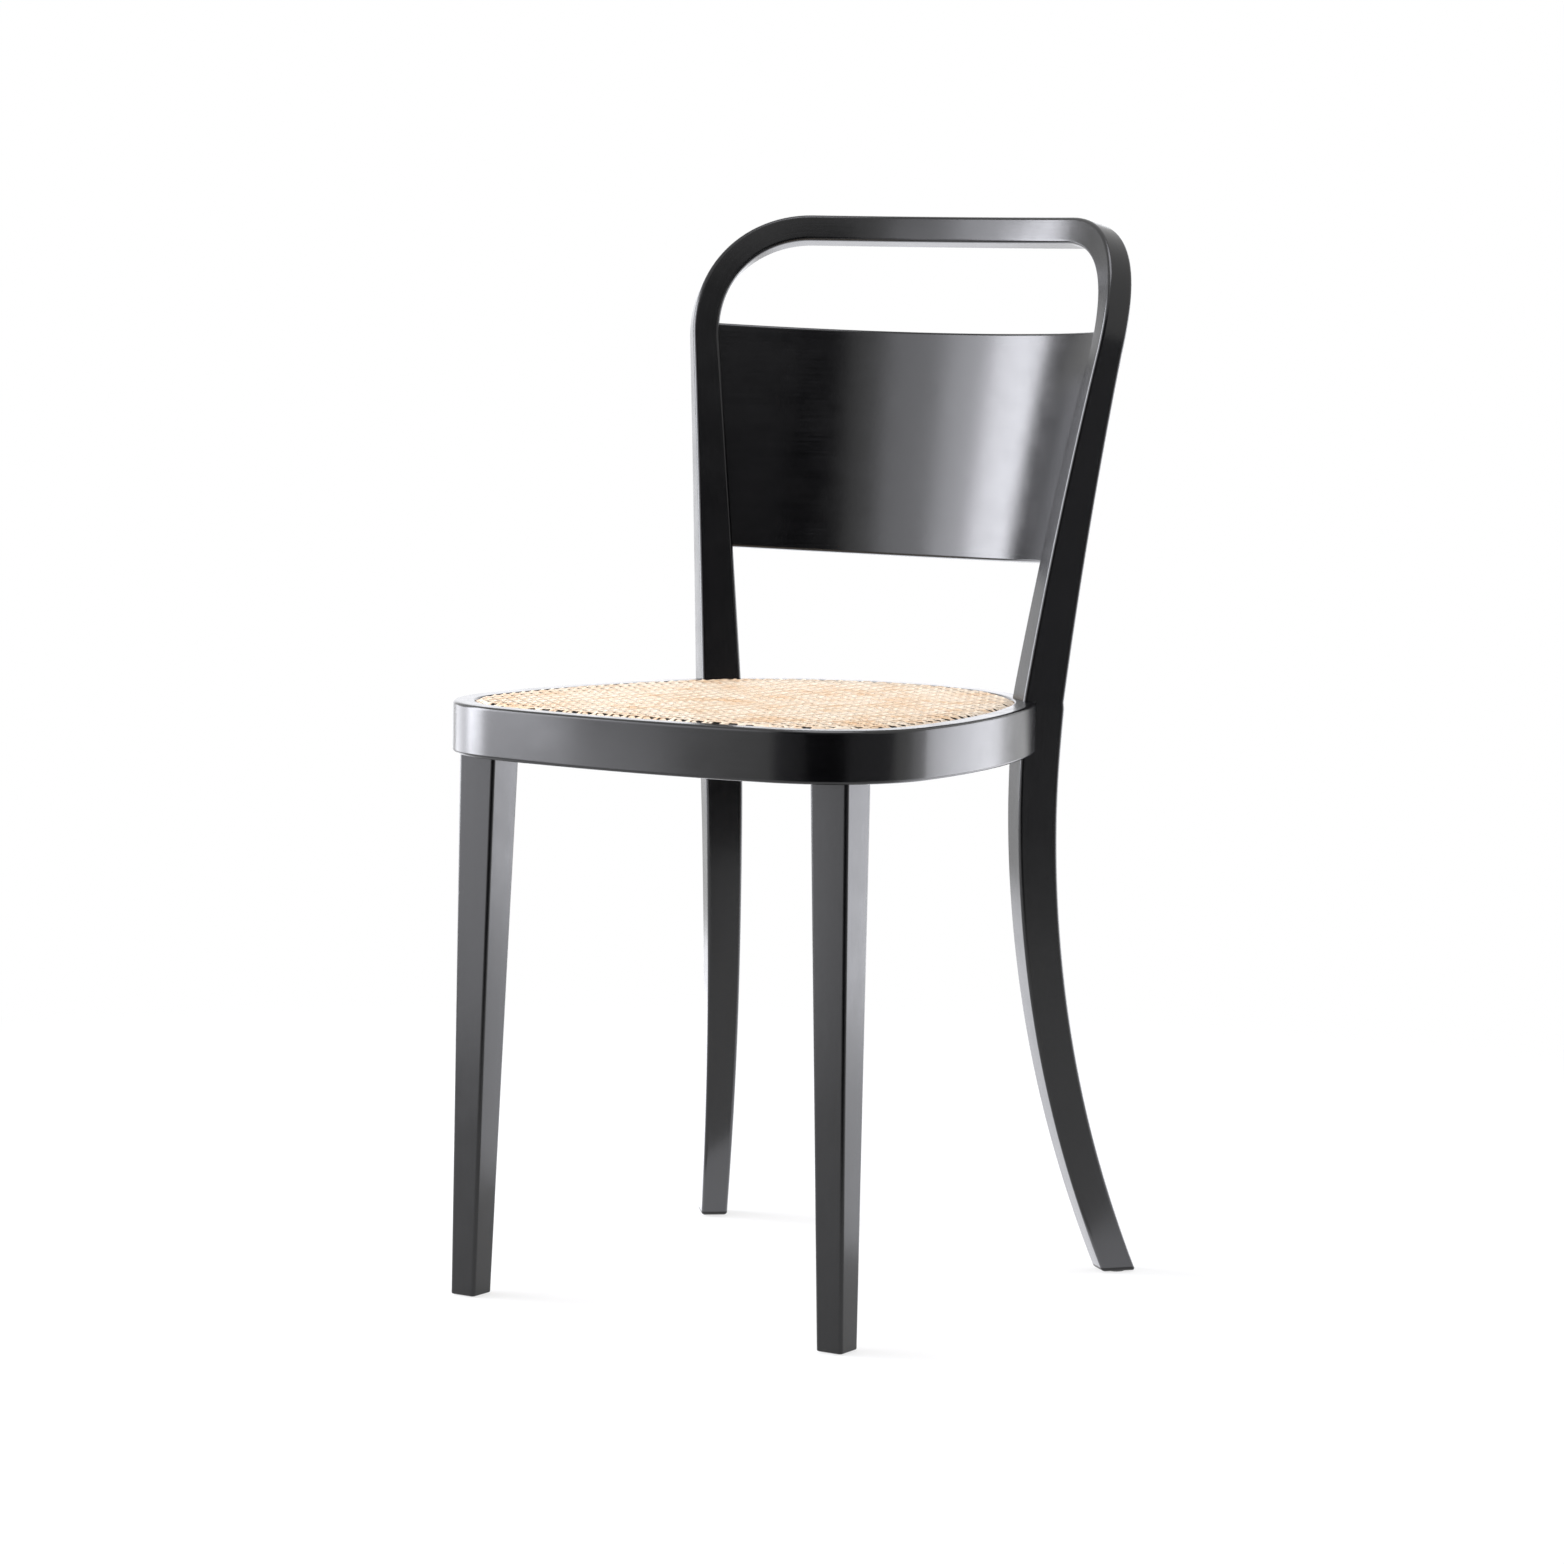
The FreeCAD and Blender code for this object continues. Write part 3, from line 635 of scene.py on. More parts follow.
# a section's place, axes (across, outward, along) and size at every step of the line
def hoopStations():
    line = hoopLine()
    stations = []
    for i, (point, bearing, slope) in enumerate(line):
        before = line[max(i - 1, 0)][0]
        after = line[min(i + 1, len(line) - 1)][0]
        along = (after - before).normalized()
        if i == len(line) - 1:
            along = Vector((-1, 0, 0))
        angle = math.radians(bearing)
        outward = Vector((math.sin(angle), math.cos(angle), -slope))
        outward = (outward - along * outward.dot(along)).normalized()
        axes = Matrix((outward.cross(along), outward, along)).transposed()
        stations.append((point, axes, hoopWidth(point.z), hoopDepth(point.z)))
    return stations


# in a window-less run rotate turns the other way, so the angles change sign
def turnSelection(rotation, centre):
    for axis, angle in zip("XYZ", rotation.to_euler("XYZ")):
        bpy.ops.transform.rotate(value=-angle, orient_axis=axis, center_override=centre)


# carries the selected section along the stations, extruding at each
def sweepSection(stations):
    for (oldPlace, oldAxes, oldWidth, oldDepth), (place, axes, width, depth) in zip(stations, stations[1:]):
        bpy.ops.mesh.extrude_region_move(TRANSFORM_OT_translate={"value": place - oldPlace})
        turnSelection(axes @ oldAxes.transposed(), place)
        bpy.ops.transform.resize(value=(width / oldWidth, depth / oldDepth, 1), orient_type="GLOBAL",
                                 orient_matrix=axes, orient_matrix_type="GLOBAL", center_override=place)


def makeHoop():
    stations = hoopStations()
    place, axes, width, depth = stations[0]
    bpy.ops.mesh.primitive_plane_add(size=1, location=(0, 0, 0))
    piece = bpy.context.object
    piece.name = "backHoop"
    editAll()
    bpy.ops.transform.resize(value=(width, depth, 1), center_override=(0, 0, 0))
    turnSelection(axes, Vector((0, 0, 0)))
    bpy.ops.transform.translate(value=place)
    sweepSection(stations)
    pick(piece, "FACE", lambda f: abs(f.center.x) < hair and abs(f.normal.x) > facing)
    bpy.ops.mesh.delete(type="ONLY_FACE")
    bpy.ops.mesh.select_all(action="SELECT")
    bpy.ops.mesh.bisect(plane_co=(0, 0, hoop["footZ"]), plane_no=(0, 0, 1), clear_inner=True, use_fill=True)
    endEdit()
    mirrorHalf(piece)
    faceOutwards(piece)
    pickSharp()
    endEdit()
    for edge in piece.data.edges:
        edge.select = edge.select and not inSole(piece, edge, hoop["footZ"])
    startEdit("EDGE")
    roundEdges(hoop["round"], hoop["roundSegments"])
    pick(piece, "EDGE", lambda e: inSole(piece, e, hoop["footZ"]))
    roundEdges(hoop["footRound"], hoop["footSegments"])
    endEdit()
    faceOutwards(piece)
    return piece


# the ring's wall, a little larger, as the cutter for the notches in the posts
def ringCutter():
    outline = ringOutline(-hoop["notchGap"])
    bpy.ops.mesh.primitive_circle_add(vertices=len(outline), radius=1, fill_type="NGON")
    cutter = bpy.context.object
    for corner, (x, y) in zip(cutter.data.vertices, outline):
        corner.co = (x, y, ring["top"] - ring["height"])
    editAll()
    bpy.ops.mesh.extrude_region_move(TRANSFORM_OT_translate={"value": (0, 0, ring["height"])})
    endEdit()
    faceOutwards(cutter)
    return cutter


backHoop = makeHoop()
combine(backHoop, ringCutter(), "DIFFERENCE", "MANIFOLD")
print("back hoop bent and notched for the ring")

# Moulded plywood panel, in metres

panel = {
    "bottom": 0.5718,
    "top": 0.7546,
    "thickness": 0.00882,       # square to the face
    "recess": 0.0025,           # its face lies behind the front of the posts
    "groove": 0.007,            # how deep its ends go into the posts
    "grooveGap": 0.0003,        # air round them
    "edgeTilt": 4.0,            # its edges rise towards the posts, in degrees
    "round": 0.0022,
    "roundSegments": 4,
    "columns": 96,
    "rows": 24,
}


# a flat grid wrapped on to the back surface; grow widens it on every side to make the groove's cutter
def makePanel(grow):
    columns, rows = panel["columns"], panel["rows"]
    bpy.ops.mesh.primitive_grid_add(x_subdivisions=columns, y_subdivisions=rows, size=1)
    piece = bpy.context.object
    rise = math.tan(math.radians(panel["edgeTilt"]))
    low, high = panel["bottom"] - grow, panel["top"] + grow
    for corner in piece.data.vertices:
        across, up = corner.co.x * 2, corner.co.y + 0.5
        z = low + (high - low) * up
        for _ in range(4):      # the edge rises with the distance that the face has come forward
            reach = hoopWidth(z) / 2 - panel["groove"] - grow
            front = backRadius(z) - hoopDepth(z) / 2 + panel["recess"]
            bearing = across * (back["bearing"] - math.degrees(reach / backRadius(z)))
            face = backPoint(bearing, front, z)
            middle = backPoint(0, front, z)
            z = low + (high - low) * up + rise * (middle.y - face.y)
        corner.co = backPoint(bearing, front - grow, z)
    faceOutwards(piece)
    return piece


# the face towards the sitter stays, and the thickness comes behind it
def thickenPanel(piece, thickness):
    middle = piece.data.polygons[len(piece.data.polygons) // 2]
    side = -1 if middle.normal.y < 0 else 1
    applyModifier(piece, "SOLIDIFY", thickness=thickness, offset=side, use_even_offset=True)
    faceOutwards(piece)


grooveCutter = makePanel(panel["grooveGap"])
thickenPanel(grooveCutter, panel["thickness"] + 2 * panel["grooveGap"])
combine(backHoop, grooveCutter, "DIFFERENCE", "MANIFOLD")
backPanel = makePanel(0)
backPanel.name = "backPanel"
thickenPanel(backPanel, panel["thickness"])
pickSharp()
roundEdges(panel["round"], panel["roundSegments"])
endEdit()
print("hoop grooved and panel moulded")

# Front legs, in metres

frontLeg = {
    "topCorner": (0.17596, -0.21281),   # outer front corner under the ring
    "topSize": (0.033, 0.035),
    "footSize": (0.0225, 0.0245),
    "splay": (0.0036, 0.0010),          # the foot's outer corner stands this far outwards and back
    "top": 0.427,
    "footZ": 0.0008,
    "round": 0.003,
    "roundSegments": 5,
    "footRound": 0.0012,
    "footSegments": 2,
    "tenonCentre": (0.15663, -0.19248),
    "tenonDiameter": 0.018,
    "tenonLength": 0.020,
    "tenonSink": 0.004,                 # it starts this far inside the leg
    "tenonSides": 32,
}


def makeFrontLeg(name, side):
    x, y = frontLeg["topCorner"]
    width, depth = frontLeg["topSize"]
    footWidth, footDepth = frontLeg["footSize"]
    top, foot = frontLeg["top"], frontLeg["footZ"]
    bpy.ops.mesh.primitive_cube_add(size=1, location=(x - width / 2, y + depth / 2, (top + foot) / 2))
    piece = bpy.context.object
    piece.name = piece.data.name = name
    piece.scale = (width, depth, top - foot)
    applyPlace(piece)
    pick(piece, "FACE", lambda f: f.normal.z < -facing)
    bpy.ops.transform.resize(value=(footWidth / width, footDepth / depth, 1), center_override=(x, y, foot))
    bpy.ops.transform.translate(value=(*frontLeg["splay"], 0))
    pick(piece, "EDGE", lambda e: edgeSpan(piece, e, 2) > (top - foot) / 2)
    roundEdges(frontLeg["round"], frontLeg["roundSegments"])
    pick(piece, "EDGE", lambda e: inSole(piece, e, foot))
    roundEdges(frontLeg["footRound"], frontLeg["footSegments"])
    endEdit()
    length, sink = frontLeg["tenonLength"], frontLeg["tenonSink"]
    bpy.ops.mesh.primitive_cylinder_add(
        vertices=frontLeg["tenonSides"], radius=frontLeg["tenonDiameter"] / 2, depth=length + sink,
        location=(*frontLeg["tenonCentre"], top + (length - sink) / 2))
    tenon = bpy.context.object
    applyPlace(tenon)
    combine(piece, tenon, "UNION", "EXACT")
    if side < 0:
        piece.scale.x = -1
        applyPlace(piece)
        faceOutwards(piece)
    return piece


frontLegRight = makeFrontLeg("frontLegRight", 1)
frontLegLeft = makeFrontLeg("frontLegLeft", -1)
print("front legs tapered")


# each piece carries its grain direction: distance along, across and through it, in metres
def storeGrain(piece, coordinates):
    attribute = piece.data.attributes.new("grain", "FLOAT_VECTOR", "POINT")
    attribute.data.foreach_set("vector", np.array(coordinates, np.float32).ravel())


# round a closed ring, the faces over its joint count on past the full length
def storeGrainAround(piece, coordinates, length):
    values = np.array(coordinates, np.float32)[[loop.vertex_index for loop in piece.data.loops]]
    for face in piece.data.polygons:
        along = values[face.loop_start:face.loop_start + face.loop_total, 0]
        if along.max() - along.min() > length / 2:
            along[along < length / 2] += length
    attribute = piece.data.attributes.new("grain", "FLOAT_VECTOR", "CORNER")
    attribute.data.foreach_set("vector", values.ravel())


def grainAlongLine(piece, places, axes):
    steps = np.concatenate([[0], np.cumsum(np.linalg.norm(np.diff(places, axis=0), axis=1))])
    corners = np.array([v.co for v in piece.data.vertices])
    nearest = np.array([np.argmin(((places - c) ** 2).sum(axis=1)) for c in corners])
    away = corners - places[nearest]
    local = np.einsum("ij,ijk->ik", away, axes[nearest])
    local[:, 2] += steps[nearest]
    return local[:, [2, 0, 1]]


# hoop: the right half's line and axes, then their mirror image back down the left
rightHalf = hoopStations()
mirrorX = np.diag([-1.0, 1.0, 1.0])
rightPlaces = np.array([station[0] for station in rightHalf])
rightAxes = np.array([np.array(station[1]) for station in rightHalf])
leftAxes = np.array([mirrorX @ axes @ np.diag([1.0, 1.0, -1.0]) for axes in rightAxes[-2::-1]])
storeGrain(backHoop, grainAlongLine(backHoop, np.vstack([rightPlaces, (rightPlaces @ mirrorX)[-2::-1]]),
                                    np.concatenate([rightAxes, leftAxes])))
# ring: once round, with its joint at the rear
ringLine = np.array([(x, y, ring["top"] - ring["height"] / 2) for x, y in ringOutline(ring["thickness"] / 2)])
ringLine = np.roll(ringLine, len(ringLine) // 2, axis=0)
ringLength = np.linalg.norm(ringLine - np.roll(ringLine, 1, axis=0), axis=1).sum()
ringAhead = np.roll(ringLine, -1, axis=0) - np.roll(ringLine, 1, axis=0)
ringAhead /= np.linalg.norm(ringAhead, axis=1)[:, None]
ringAxes = np.array([np.column_stack([(0, 0, 1), np.cross(a, (0, 0, 1)), a]) for a in ringAhead])
storeGrainAround(seatRing, grainAlongLine(seatRing, ringLine, ringAxes), ringLength)


# panel: along the curve, up, and behind the face
def panelGrain(corner):
    x, y, z = corner
    around = math.atan2(x, y - back["axisY"]) * backRadius(z)
    return around, z, math.hypot(x, y - backAxisY(z)) - backRadius(z)


storeGrain(backPanel, [panelGrain(v.co) for v in backPanel.data.vertices])
for leg in (frontLegRight, frontLegLeft):
    storeGrain(leg, [(v.co.z, v.co.x, v.co.y) for v in leg.data.vertices])

for piece, material, slot, node in (
        (backHoop, lacqueredBeech, "lacquered_beech", "back_hoop"),
        (seatRing, lacqueredBeech, "lacquered_beech", "seat_ring"),
        (backPanel, lacqueredPlywood, "lacquered_plywood", "back_panel"),
        (frontLegRight, lacqueredBeech, "lacquered_beech", "front_leg_right"),
        (frontLegLeft, lacqueredBeech, "lacquered_beech", "front_leg_left")):
    softShade(piece)
    flatFaces(piece)
    finishPiece(piece, material, slot, node)

# Woven cane, in metres

# Six-way weave: pairs front to back and side to side, and two diagonals that turn the square holes
# into octagons. Its edge bends down to the frame just inside the ring.
weave = {
    "pitch": (0.0141, 0.0130),  # from hole to hole, across and front to back
    "start": -0.0060,           # a hole's centre, front to back
    "holes": (32, 34),          # across and front to back, enough to reach past the outline
    "pairHoles": 36,            # a pair's strand is this many holes long before it is cut off
    "diagonalHoles": 44,
    "shortest": 0.012,          # no strand shorter than this is laid
    "pairGap": 0.0040,          # between the middles of a pair's two strands
    "strandWidth": 0.0027,
    "strandThickness": 0.0005,
    # the strand's section, flat below and rounded above, as shares of its width and thickness
    "section": [(0.5, -0.05), (0.27, 0.5), (-0.27, 0.5), (-0.5, -0.05), (-0.42, -0.45), (0.42, -0.45)],
    "level": 0.4673,            # of the weave's middle
    "pairLift": 0.00027,        # over and under where the pairs cross
    "pairSlope": 0.11,          # how long the lift takes, as a share of the pitch
    "diagonalLift": 0.00058,
    "diagonalSquareness": 1.6,  # how flat the diagonals run between their ups and downs
    "stepsPerHole": 8,
    "diagonalSteps": 10,
    "edgeInset": 0.0176,        # from the ring's outer wall
    "edgeWidth": 0.0062,        # over which the cane bends down
    "edgeDrop": 0.0017,
    "edgeFlat": 0.7,            # share of the over and under that is pressed flat there
    "wobble": 0.00012,          # strands don't run quite straight
    "wobbleTurns": 55,          # radians of that wave in a metre
    "wobbleStart": 6.28,        # where the wave of each strand may start
    "shadeStep": 0.01,          # from strand to strand, in the material's third coordinate
    "smoothAngle": 60,
    "seed": 11,
}
weaveOutline = ringOutline(weave["edgeInset"])


# where a line crosses the cane's outline, as distances along it
def lineReach(start, direction):
    normal = Vector((-direction.y, direction.x))
    reaches = []
    ends = [Vector(p) for p in weaveOutline]
    for a, b in zip(ends, ends[1:] + ends[:1]):
        sideA, sideB = (a - start).dot(normal), (b - start).dot(normal)
        if (sideA < 0) != (sideB < 0):
            crossing = a + (b - a) * (sideA / (sideA - sideB))
            reaches.append((crossing - start).dot(direction))
    return sorted(reaches)


# one strand along +X: its section extruded, cut at every hole and between, then lifted by the wave
def makeStrand(name, pitch, holes, steps, wave):
    width, thickness = weave["strandWidth"], weave["strandThickness"]
    length = pitch * holes
    bpy.ops.mesh.primitive_circle_add(vertices=len(weave["section"]), radius=width / 2, fill_type="NGON",
                                      rotation=(0, math.pi / 2, 0))
    strand = bpy.context.object
    strand.name = name
    applyPlace(strand)
    for corner, (across, up) in zip(strand.data.vertices, weave["section"]):
        corner.co = (-length / 2, across * width, up * thickness)
    editAll()
    bpy.ops.mesh.extrude_region_move(TRANSFORM_OT_translate={"value": (length, 0, 0)})
    endEdit()
    for cuts, longest in ((holes - 1, length), (steps - 1, pitch)):
        pick(strand, "EDGE", lambda e: edgeSpan(strand, e, 0) > longest / 2)
        bpy.ops.mesh.subdivide(number_cuts=cuts)
        endEdit()
    for corner in strand.data.vertices:
        corner.co.z += wave(corner.co.x)
    faceOutwards(strand)
    return strand


def roundedWave(turns):
    squareness = weave["diagonalSquareness"]
    return math.tanh(squareness * math.cos(2 * math.pi * turns)) / math.tanh(squareness)


# lays copies of a strand on parallel lines, each cut off at the outline, and joins them
def layStrands(name, master, starts, direction):
    rng = np.random.default_rng(weave["seed"] + len(name))
    turn = math.atan2(direction.y, direction.x)
    copies = []
    for number, start in enumerate(starts):
        reach = lineReach(start, direction)
        if len(reach) < 2 or reach[-1] - reach[0] < weave["shortest"]:
            continue
        copy = master.copy()
        copy.data = master.data.copy()
        bpy.context.collection.objects.link(copy)
        shift = rng.normal(0, weave["wobble"])
        swing = rng.uniform(0, weave["wobbleStart"])
        for corner in copy.data.vertices:
            corner.co.y += shift + weave["wobble"] * math.sin(corner.co.x * weave["wobbleTurns"] + swing)
        activate(copy)
        startEdit()
        for end, keepOuter in ((reach[0], False), (reach[-1], True)):
            bpy.ops.mesh.select_all(action="SELECT")
            bpy.ops.mesh.bisect(plane_co=(end, 0, 0), plane_no=(1, 0, 0), use_fill=True,
                                clear_inner=not keepOuter, clear_outer=keepOuter)
        endEdit()
        storeGrain(copy, [(v.co.x, v.co.y, number * weave["shadeStep"]) for v in copy.data.vertices])
        place = Matrix.Translation((start.x, start.y, weave["level"]))
        copy.data.transform(place @ Matrix.Rotation(turn, 4, "Z"))
        copies.append(copy)
    piece = joinPieces(copies, name)
    print(name, len(copies), "strands")
    return piece


# bends the cane down and flattens it where it reaches the frame beside the ring
def bendEdge(piece):
    outline = np.array(weaveOutline)
    corners = np.array([v.co for v in piece.data.vertices])
    distance = np.full(len(corners), 1.0)
    for start, run in zip(outline, np.roll(outline, -1, axis=0) - outline):
        away = corners[:, :2] - start
        share = np.clip((away @ run) / (run @ run), 0, 1)
        distance = np.minimum(distance, np.linalg.norm(away - share[:, None] * run, axis=1))
    near = np.clip(1 - distance / weave["edgeWidth"], 0, 1)
    near = near * near * (3 - 2 * near)
    lift = corners[:, 2] - weave["level"]
    corners[:, 2] = weave["level"] + lift * (1 - weave["edgeFlat"] * near) - weave["edgeDrop"] * near
    piece.data.vertices.foreach_set("co", corners.astype(np.float32).ravel())
    piece.data.update()


# at a crossing of pairs one strand passes over, then under, so its wave rises and falls beside the middle
def pairWave(pitch, sign):
    side = weave["pairGap"] / 2 / pitch

    def wave(x):
        place = (x / pitch) % 1 - 0.5
        bump = math.exp(-((abs(place) - side) / weave["pairSlope"]) ** 2)
        return sign * weave["pairLift"] * bump * (1 if place < 0 else -1)
    return wave


def makePairs(name, pitch, other, count, along):
    direction = Vector((0, 1)) if along else Vector((1, 0))
    halves = []
    for sign in (-1, 1):
        master = makeStrand(name + "Strand", pitch, weave["pairHoles"], weave["stepsPerHole"],
                            pairWave(pitch, sign if along else -sign))
        places = [(k + 0.5) * other + sign * weave["pairGap"] / 2 for k in range(-count // 2, count // 2)]
        starts = [Vector((p, weave["start"])) if along else Vector((0, p + weave["start"])) for p in places]
        halves.append(layStrands(name + ("One" if sign < 0 else "Two"), master, starts, direction))
        bpy.data.objects.remove(master)
    return joinPieces(halves, name)


def makeDiagonals(name, rise, sign):
    pitchX, pitchY = weave["pitch"]
    stride = math.hypot(pitchX, pitchY)
    master = makeStrand(name + "Strand", stride, weave["diagonalHoles"], weave["diagonalSteps"],
                        lambda x: sign * weave["diagonalLift"] * roundedWave(x / stride))
    rows = range(-weave["holes"][1], weave["holes"][1])
    starts = [Vector((0, weave["start"] + (k + 0.5) * pitchY)) for k in rows]
    piece = layStrands(name, master, starts, Vector((pitchX, rise * pitchY)).normalized())
    bpy.data.objects.remove(master)
    return piece


def makeWeave():
    pitchX, pitchY = weave["pitch"]
    holesX, holesY = weave["holes"]
    return [makePairs("caneFrontToBack", pitchY, pitchX, holesX, True),
            makePairs("caneSideToSide", pitchX, pitchY, holesY, False),
            makeDiagonals("caneDiagonalRight", 1, -1),
            makeDiagonals("caneDiagonalLeft", -1, 1)]


for piece in makeWeave():
    bendEdge(piece)
    softShade(piece, weave["smoothAngle"])
    finishPiece(piece, naturalCane, "cane", "cane_panel")
print("cane woven")

# Studio: azimuths in degrees, 0 in front of the chair and 90 on its right as the viewer sees it

studio = {
    "world": 0.5,
    "floorSize": 14.0,
    "floorColour": "#f6f6f6",
    "floorVeil": 0.72,          # how far the paper's own white covers the shadow beside the feet
    "veilRadius": (0.75, 1.5),  # between these it goes over to plain white
    "aim": (0, 0, 0.5),         # the softboxes point here
    # softboxes round the chair; a lying one is the glow of the bright floor and faces up
    "lamps": {
        "key": {"azimuth": -71, "distance": 2.3, "height": 0.96, "size": (0.95, 1.72), "glow": 14.5},
        "fill": {"azimuth": -49, "distance": 2.3, "height": 1.13, "size": (0.9, 2.1), "glow": 6.0},
        "wash": {"azimuth": -25, "distance": 2.3, "height": 1.3, "size": (0.9, 1.8), "glow": 2.3},
        "lowFill": {"azimuth": -31, "distance": 1.3, "height": 0.2, "size": (0.5, 0.36), "glow": 2.2},
        "low": {"azimuth": -96, "distance": 2.2, "height": 0.35, "size": (1.1, 0.7), "glow": 3.6},
        "edge": {"azimuth": 149, "distance": 1.5, "height": 0.45, "size": (0.76, 0.86), "glow": 4.8},
        "edgeFade": {"azimuth": 124, "distance": 1.56, "height": 0.45, "size": (0.58, 0.86), "glow": 0.75},
        "top": {"azimuth": 60, "distance": 0.3, "height": 2.4, "size": (1.1, 1.1), "glow": 5.2},
        "back": {"azimuth": -150, "distance": 3.0, "height": 0.85, "size": (3.0, 1.6), "glow": 1.1},
        "floorGlow": {"azimuth": 174, "distance": 1.03, "height": 0.004, "size": (3.0, 1.8), "glow": 1.6,
                      "lying": True},
    },
    "lampColour": "#f6f7ff",
    # cards between the chair and the camera, unseen by the camera, which shade the reflections
    "cards": {
        "blackCard": {"azimuth": 12, "distance": 1.6, "foot": 0.6, "size": (0.7, 1.25), "colour": "#050505"},
        "leftCard": {"azimuth": 10, "distance": 1.55, "foot": 0, "size": (0.66, 0.6), "colour": "#707070"},
        "greyCard": {"azimuth": 45, "distance": 1.6, "foot": 0.45, "size": (1.36, 1.3), "colour": "#444444"},
        "sideCard": {"azimuth": 74, "distance": 1.49, "foot": 0, "size": (1.13, 0.9), "colour": "#6c6c6c"},
        "lowCard": {"azimuth": 38, "distance": 1.5, "foot": 0, "size": (0.85, 0.45), "colour": "#050505"},
        "floorCard": {"azimuth": 37, "distance": 1.2, "foot": 0.005, "size": (1.3, 0.6), "colour": "#050505",
                      "lying": True},
    },
}


def towards(azimuth, distance, height):
    turn = math.radians(azimuth)
    return Vector((math.sin(turn) * distance, -math.cos(turn) * distance, height))


for name, spec in studio["lamps"].items():
    light = bpy.data.lights.new(name, "AREA")
    light.shape = "RECTANGLE"
    light.size, light.size_y = spec["size"]
    light.energy = spec["glow"] * math.pi * spec["size"][0] * spec["size"][1]
    light.color = linear(studio["lampColour"])[:3]
    lamp = bpy.data.objects.new(name, light)
    bpy.context.collection.objects.link(lamp)
    lamp.location = towards(spec["azimuth"], spec["distance"], spec["height"])
    aim = Vector((0, 0, 1)) if spec.get("lying") else Vector(studio["aim"]) - lamp.location
    lamp.rotation_euler = aim.to_track_quat("-Z", "Y").to_euler()
    lamp.visible_camera = False


# 1 where the camera sees a surface, straight on, in a reflection or through glass, and 0 for other light
def seenByEye(tree):
    path = addNode(tree, "ShaderNodeLightPath")
    cameraOrGloss = addNode(tree, "ShaderNodeMath", {"operation": "MAXIMUM"}, links={
        0: path.outputs["Is Camera Ray"], 1: path.outputs["Is Glossy Ray"]})
    return addNode(tree, "ShaderNodeMath", {"operation": "MAXIMUM"}, links={
        0: cameraOrGloss.outputs[0], 1: path.outputs["Is Transmission Ray"]}).outputs[0]


world = bpy.data.worlds.new("studio")
bpy.context.scene.world = world
world.use_nodes = True
tree = world.node_tree
tree.nodes.clear()
strength = addNode(tree, "ShaderNodeMapRange", values={"To Min": studio["world"], "To Max": 1.0},
                   links={"Value": seenByEye(tree)})
sky = addNode(tree, "ShaderNodeBackground", values={"Color": (1, 1, 1, 1)},
              links={"Strength": strength.outputs["Result"]})
addNode(tree, "ShaderNodeOutputWorld", links={"Surface": sky.outputs["Background"]})

# White seamless paper, on which only the soft shadow close to the feet shows
bpy.ops.mesh.primitive_circle_add(vertices=96, radius=studio["floorSize"] / 2, fill_type="NGON")
floor = bpy.context.object
floor.name = "studioFloor"
paper, tree = newMaterial("whitePaper")
place = addNode(tree, "ShaderNodeTexCoord").outputs["Object"]
reach = addNode(tree, "ShaderNodeVectorMath", {"operation": "LENGTH"}, links={0: place})
near, far = studio["veilRadius"]
veil = addNode(tree, "ShaderNodeMapRange", {"interpolation_type": "SMOOTHSTEP"}, {
    "From Min": near, "From Max": far, "To Min": studio["floorVeil"], "To Max": 1.0},
    {"Value": reach.outputs["Value"]})
cover = addNode(tree, "ShaderNodeMath", {"operation": "MULTIPLY"},
                links={0: veil.outputs["Result"], 1: seenByEye(tree)})
matt = addNode(tree, "ShaderNodeBsdfPrincipled", values={
    "Base Color": linear(studio["floorColour"]), "Roughness": 0.9, "Specular IOR Level": 0.2})
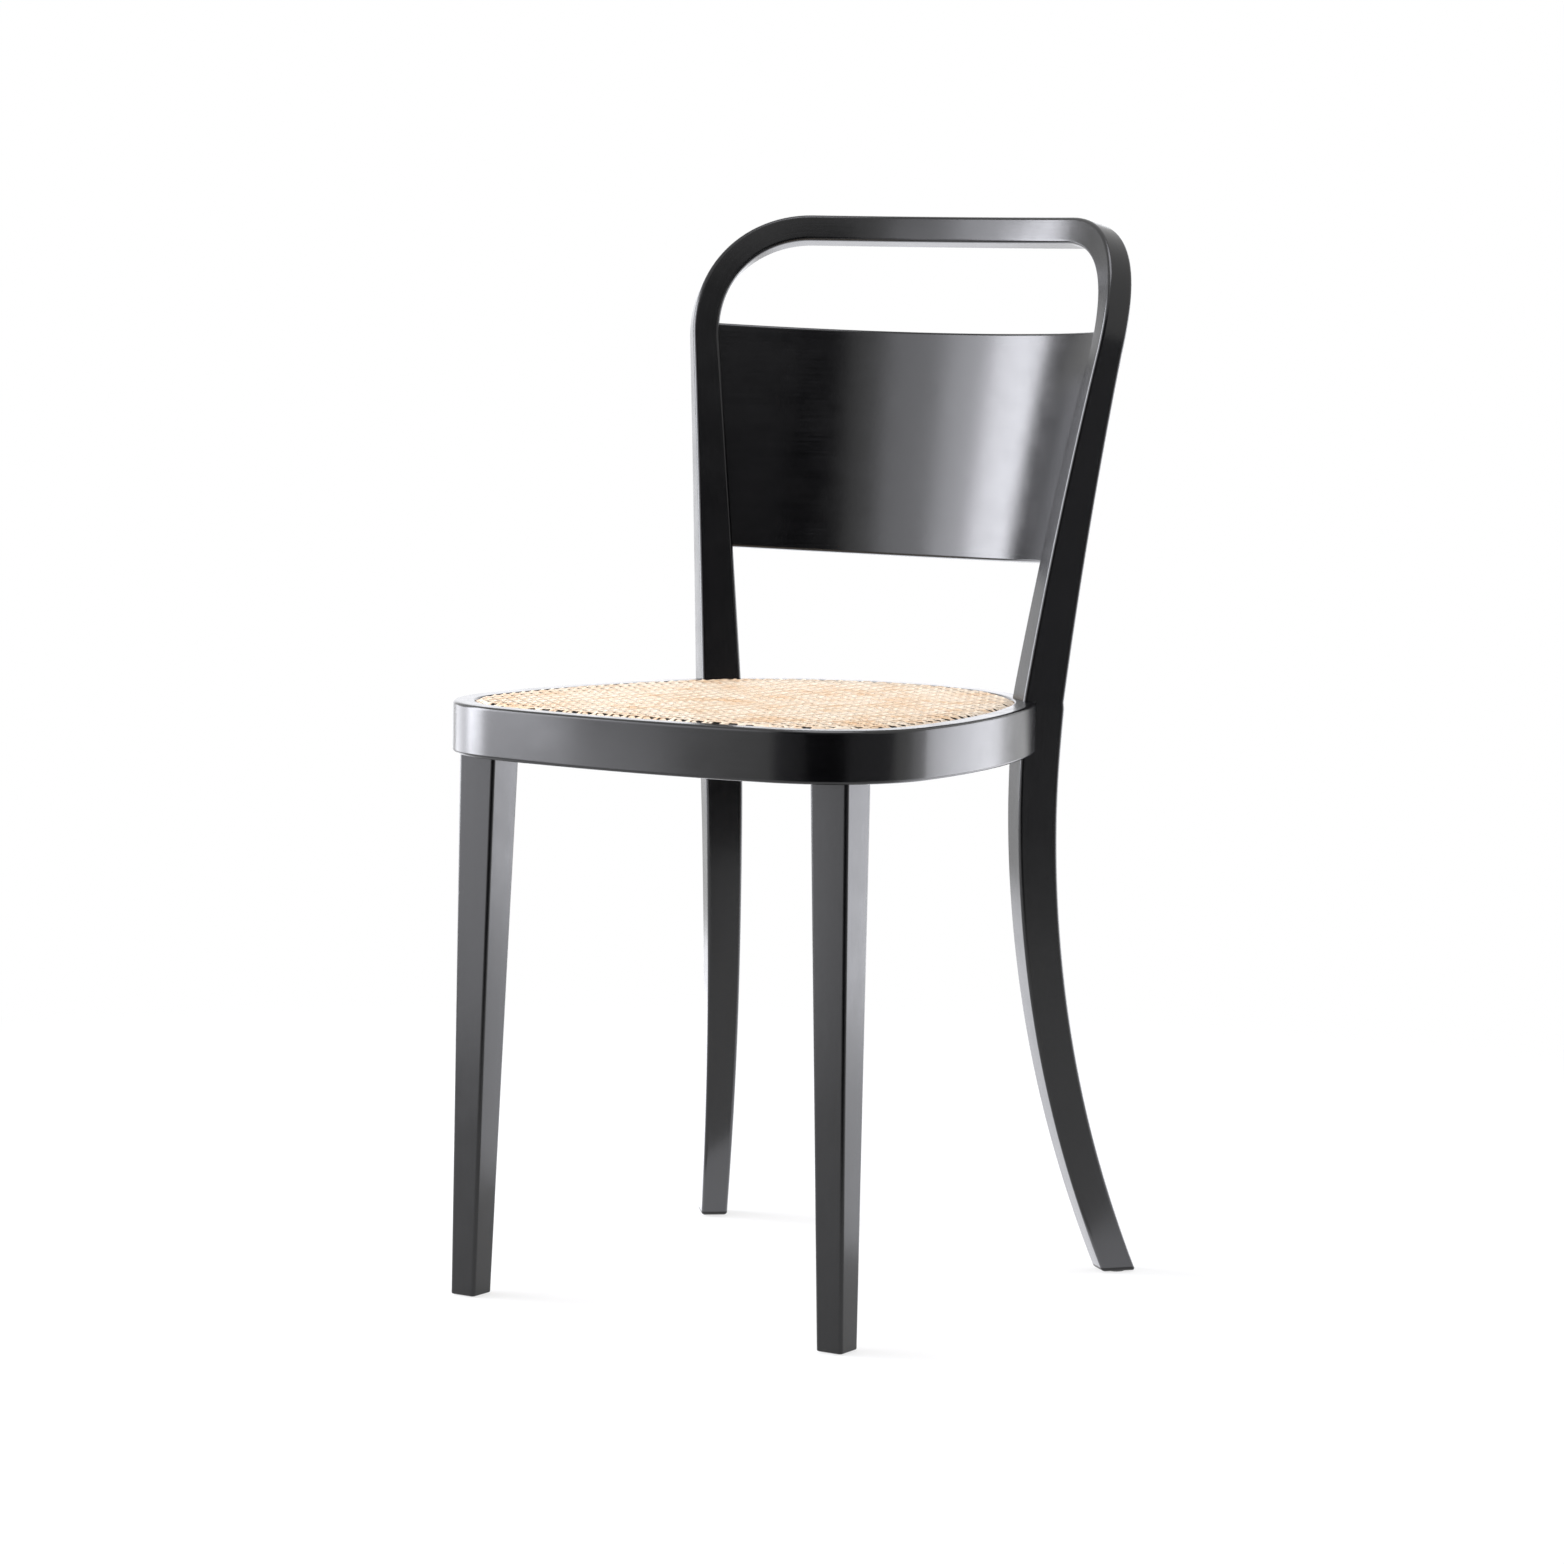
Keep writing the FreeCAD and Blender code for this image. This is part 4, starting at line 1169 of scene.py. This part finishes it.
white = addNode(tree, "ShaderNodeEmission", values={"Color": (1, 1, 1, 1), "Strength": 1.0})
mixed = addNode(tree, "ShaderNodeMixShader", links={
    "Fac": cover.outputs[0], 1: matt.outputs["BSDF"], 2: white.outputs["Emission"]})
addNode(tree, "ShaderNodeOutputMaterial", links={"Surface": mixed.outputs["Shader"]})
floor.data.materials.append(paper)

for name, spec in studio["cards"].items():
    lying = spec.get("lying", False)
    bpy.ops.mesh.primitive_plane_add(size=1, rotation=(0 if lying else math.pi / 2, 0, 0))
    card = bpy.context.object
    card.name = name
    card.scale = (*spec["size"], 1)
    applyPlace(card)
    middle = spec["foot"] + (0 if lying else spec["size"][1] / 2)
    card.location = towards(spec["azimuth"], spec["distance"], middle)
    card.rotation_euler = (0, 0, math.radians(spec["azimuth"]))
    felt, tree = newMaterial(name + "Felt")
    shader = addNode(tree, "ShaderNodeBsdfPrincipled", values={
        "Base Color": linear(spec["colour"]), "Roughness": 1.0, "Specular IOR Level": 0.0})
    addNode(tree, "ShaderNodeOutputMaterial", links={"Surface": shader.outputs["BSDF"]})
    card.data.materials.append(felt)
    # only reflections see a card, so it darkens neither the cane nor the floor
    card.visible_camera = False
    card.visible_diffuse = False
    card.visible_shadow = False

# Camera, solved from the photograph together with the chair

view = {
    "place": (1.9724, -3.1712, 0.7904),
    "right": (0.84540328, 0.53383718, 0.01763959),
    "up": (-0.07043258, 0.07868124, 0.99440863),
    "look": (-0.52946439, 0.84191872, -0.10411691),
    "lens": 109.10,
    "sensor": 36,
    "shiftX": 0.00548,
}
cameraData = bpy.data.cameras.new("camera")
cameraData.lens = view["lens"]
cameraData.sensor_width = view["sensor"]
cameraData.shift_x = view["shiftX"]
camera = bpy.data.objects.new("camera", cameraData)
bpy.context.collection.objects.link(camera)
axes = Matrix((view["right"], view["up"], [-c for c in view["look"]])).transposed().to_4x4()
axes.translation = view["place"]
camera.matrix_world = axes
bpy.context.scene.camera = camera
bpy.context.scene.view_settings.view_transform = "Standard"

print("stage set")
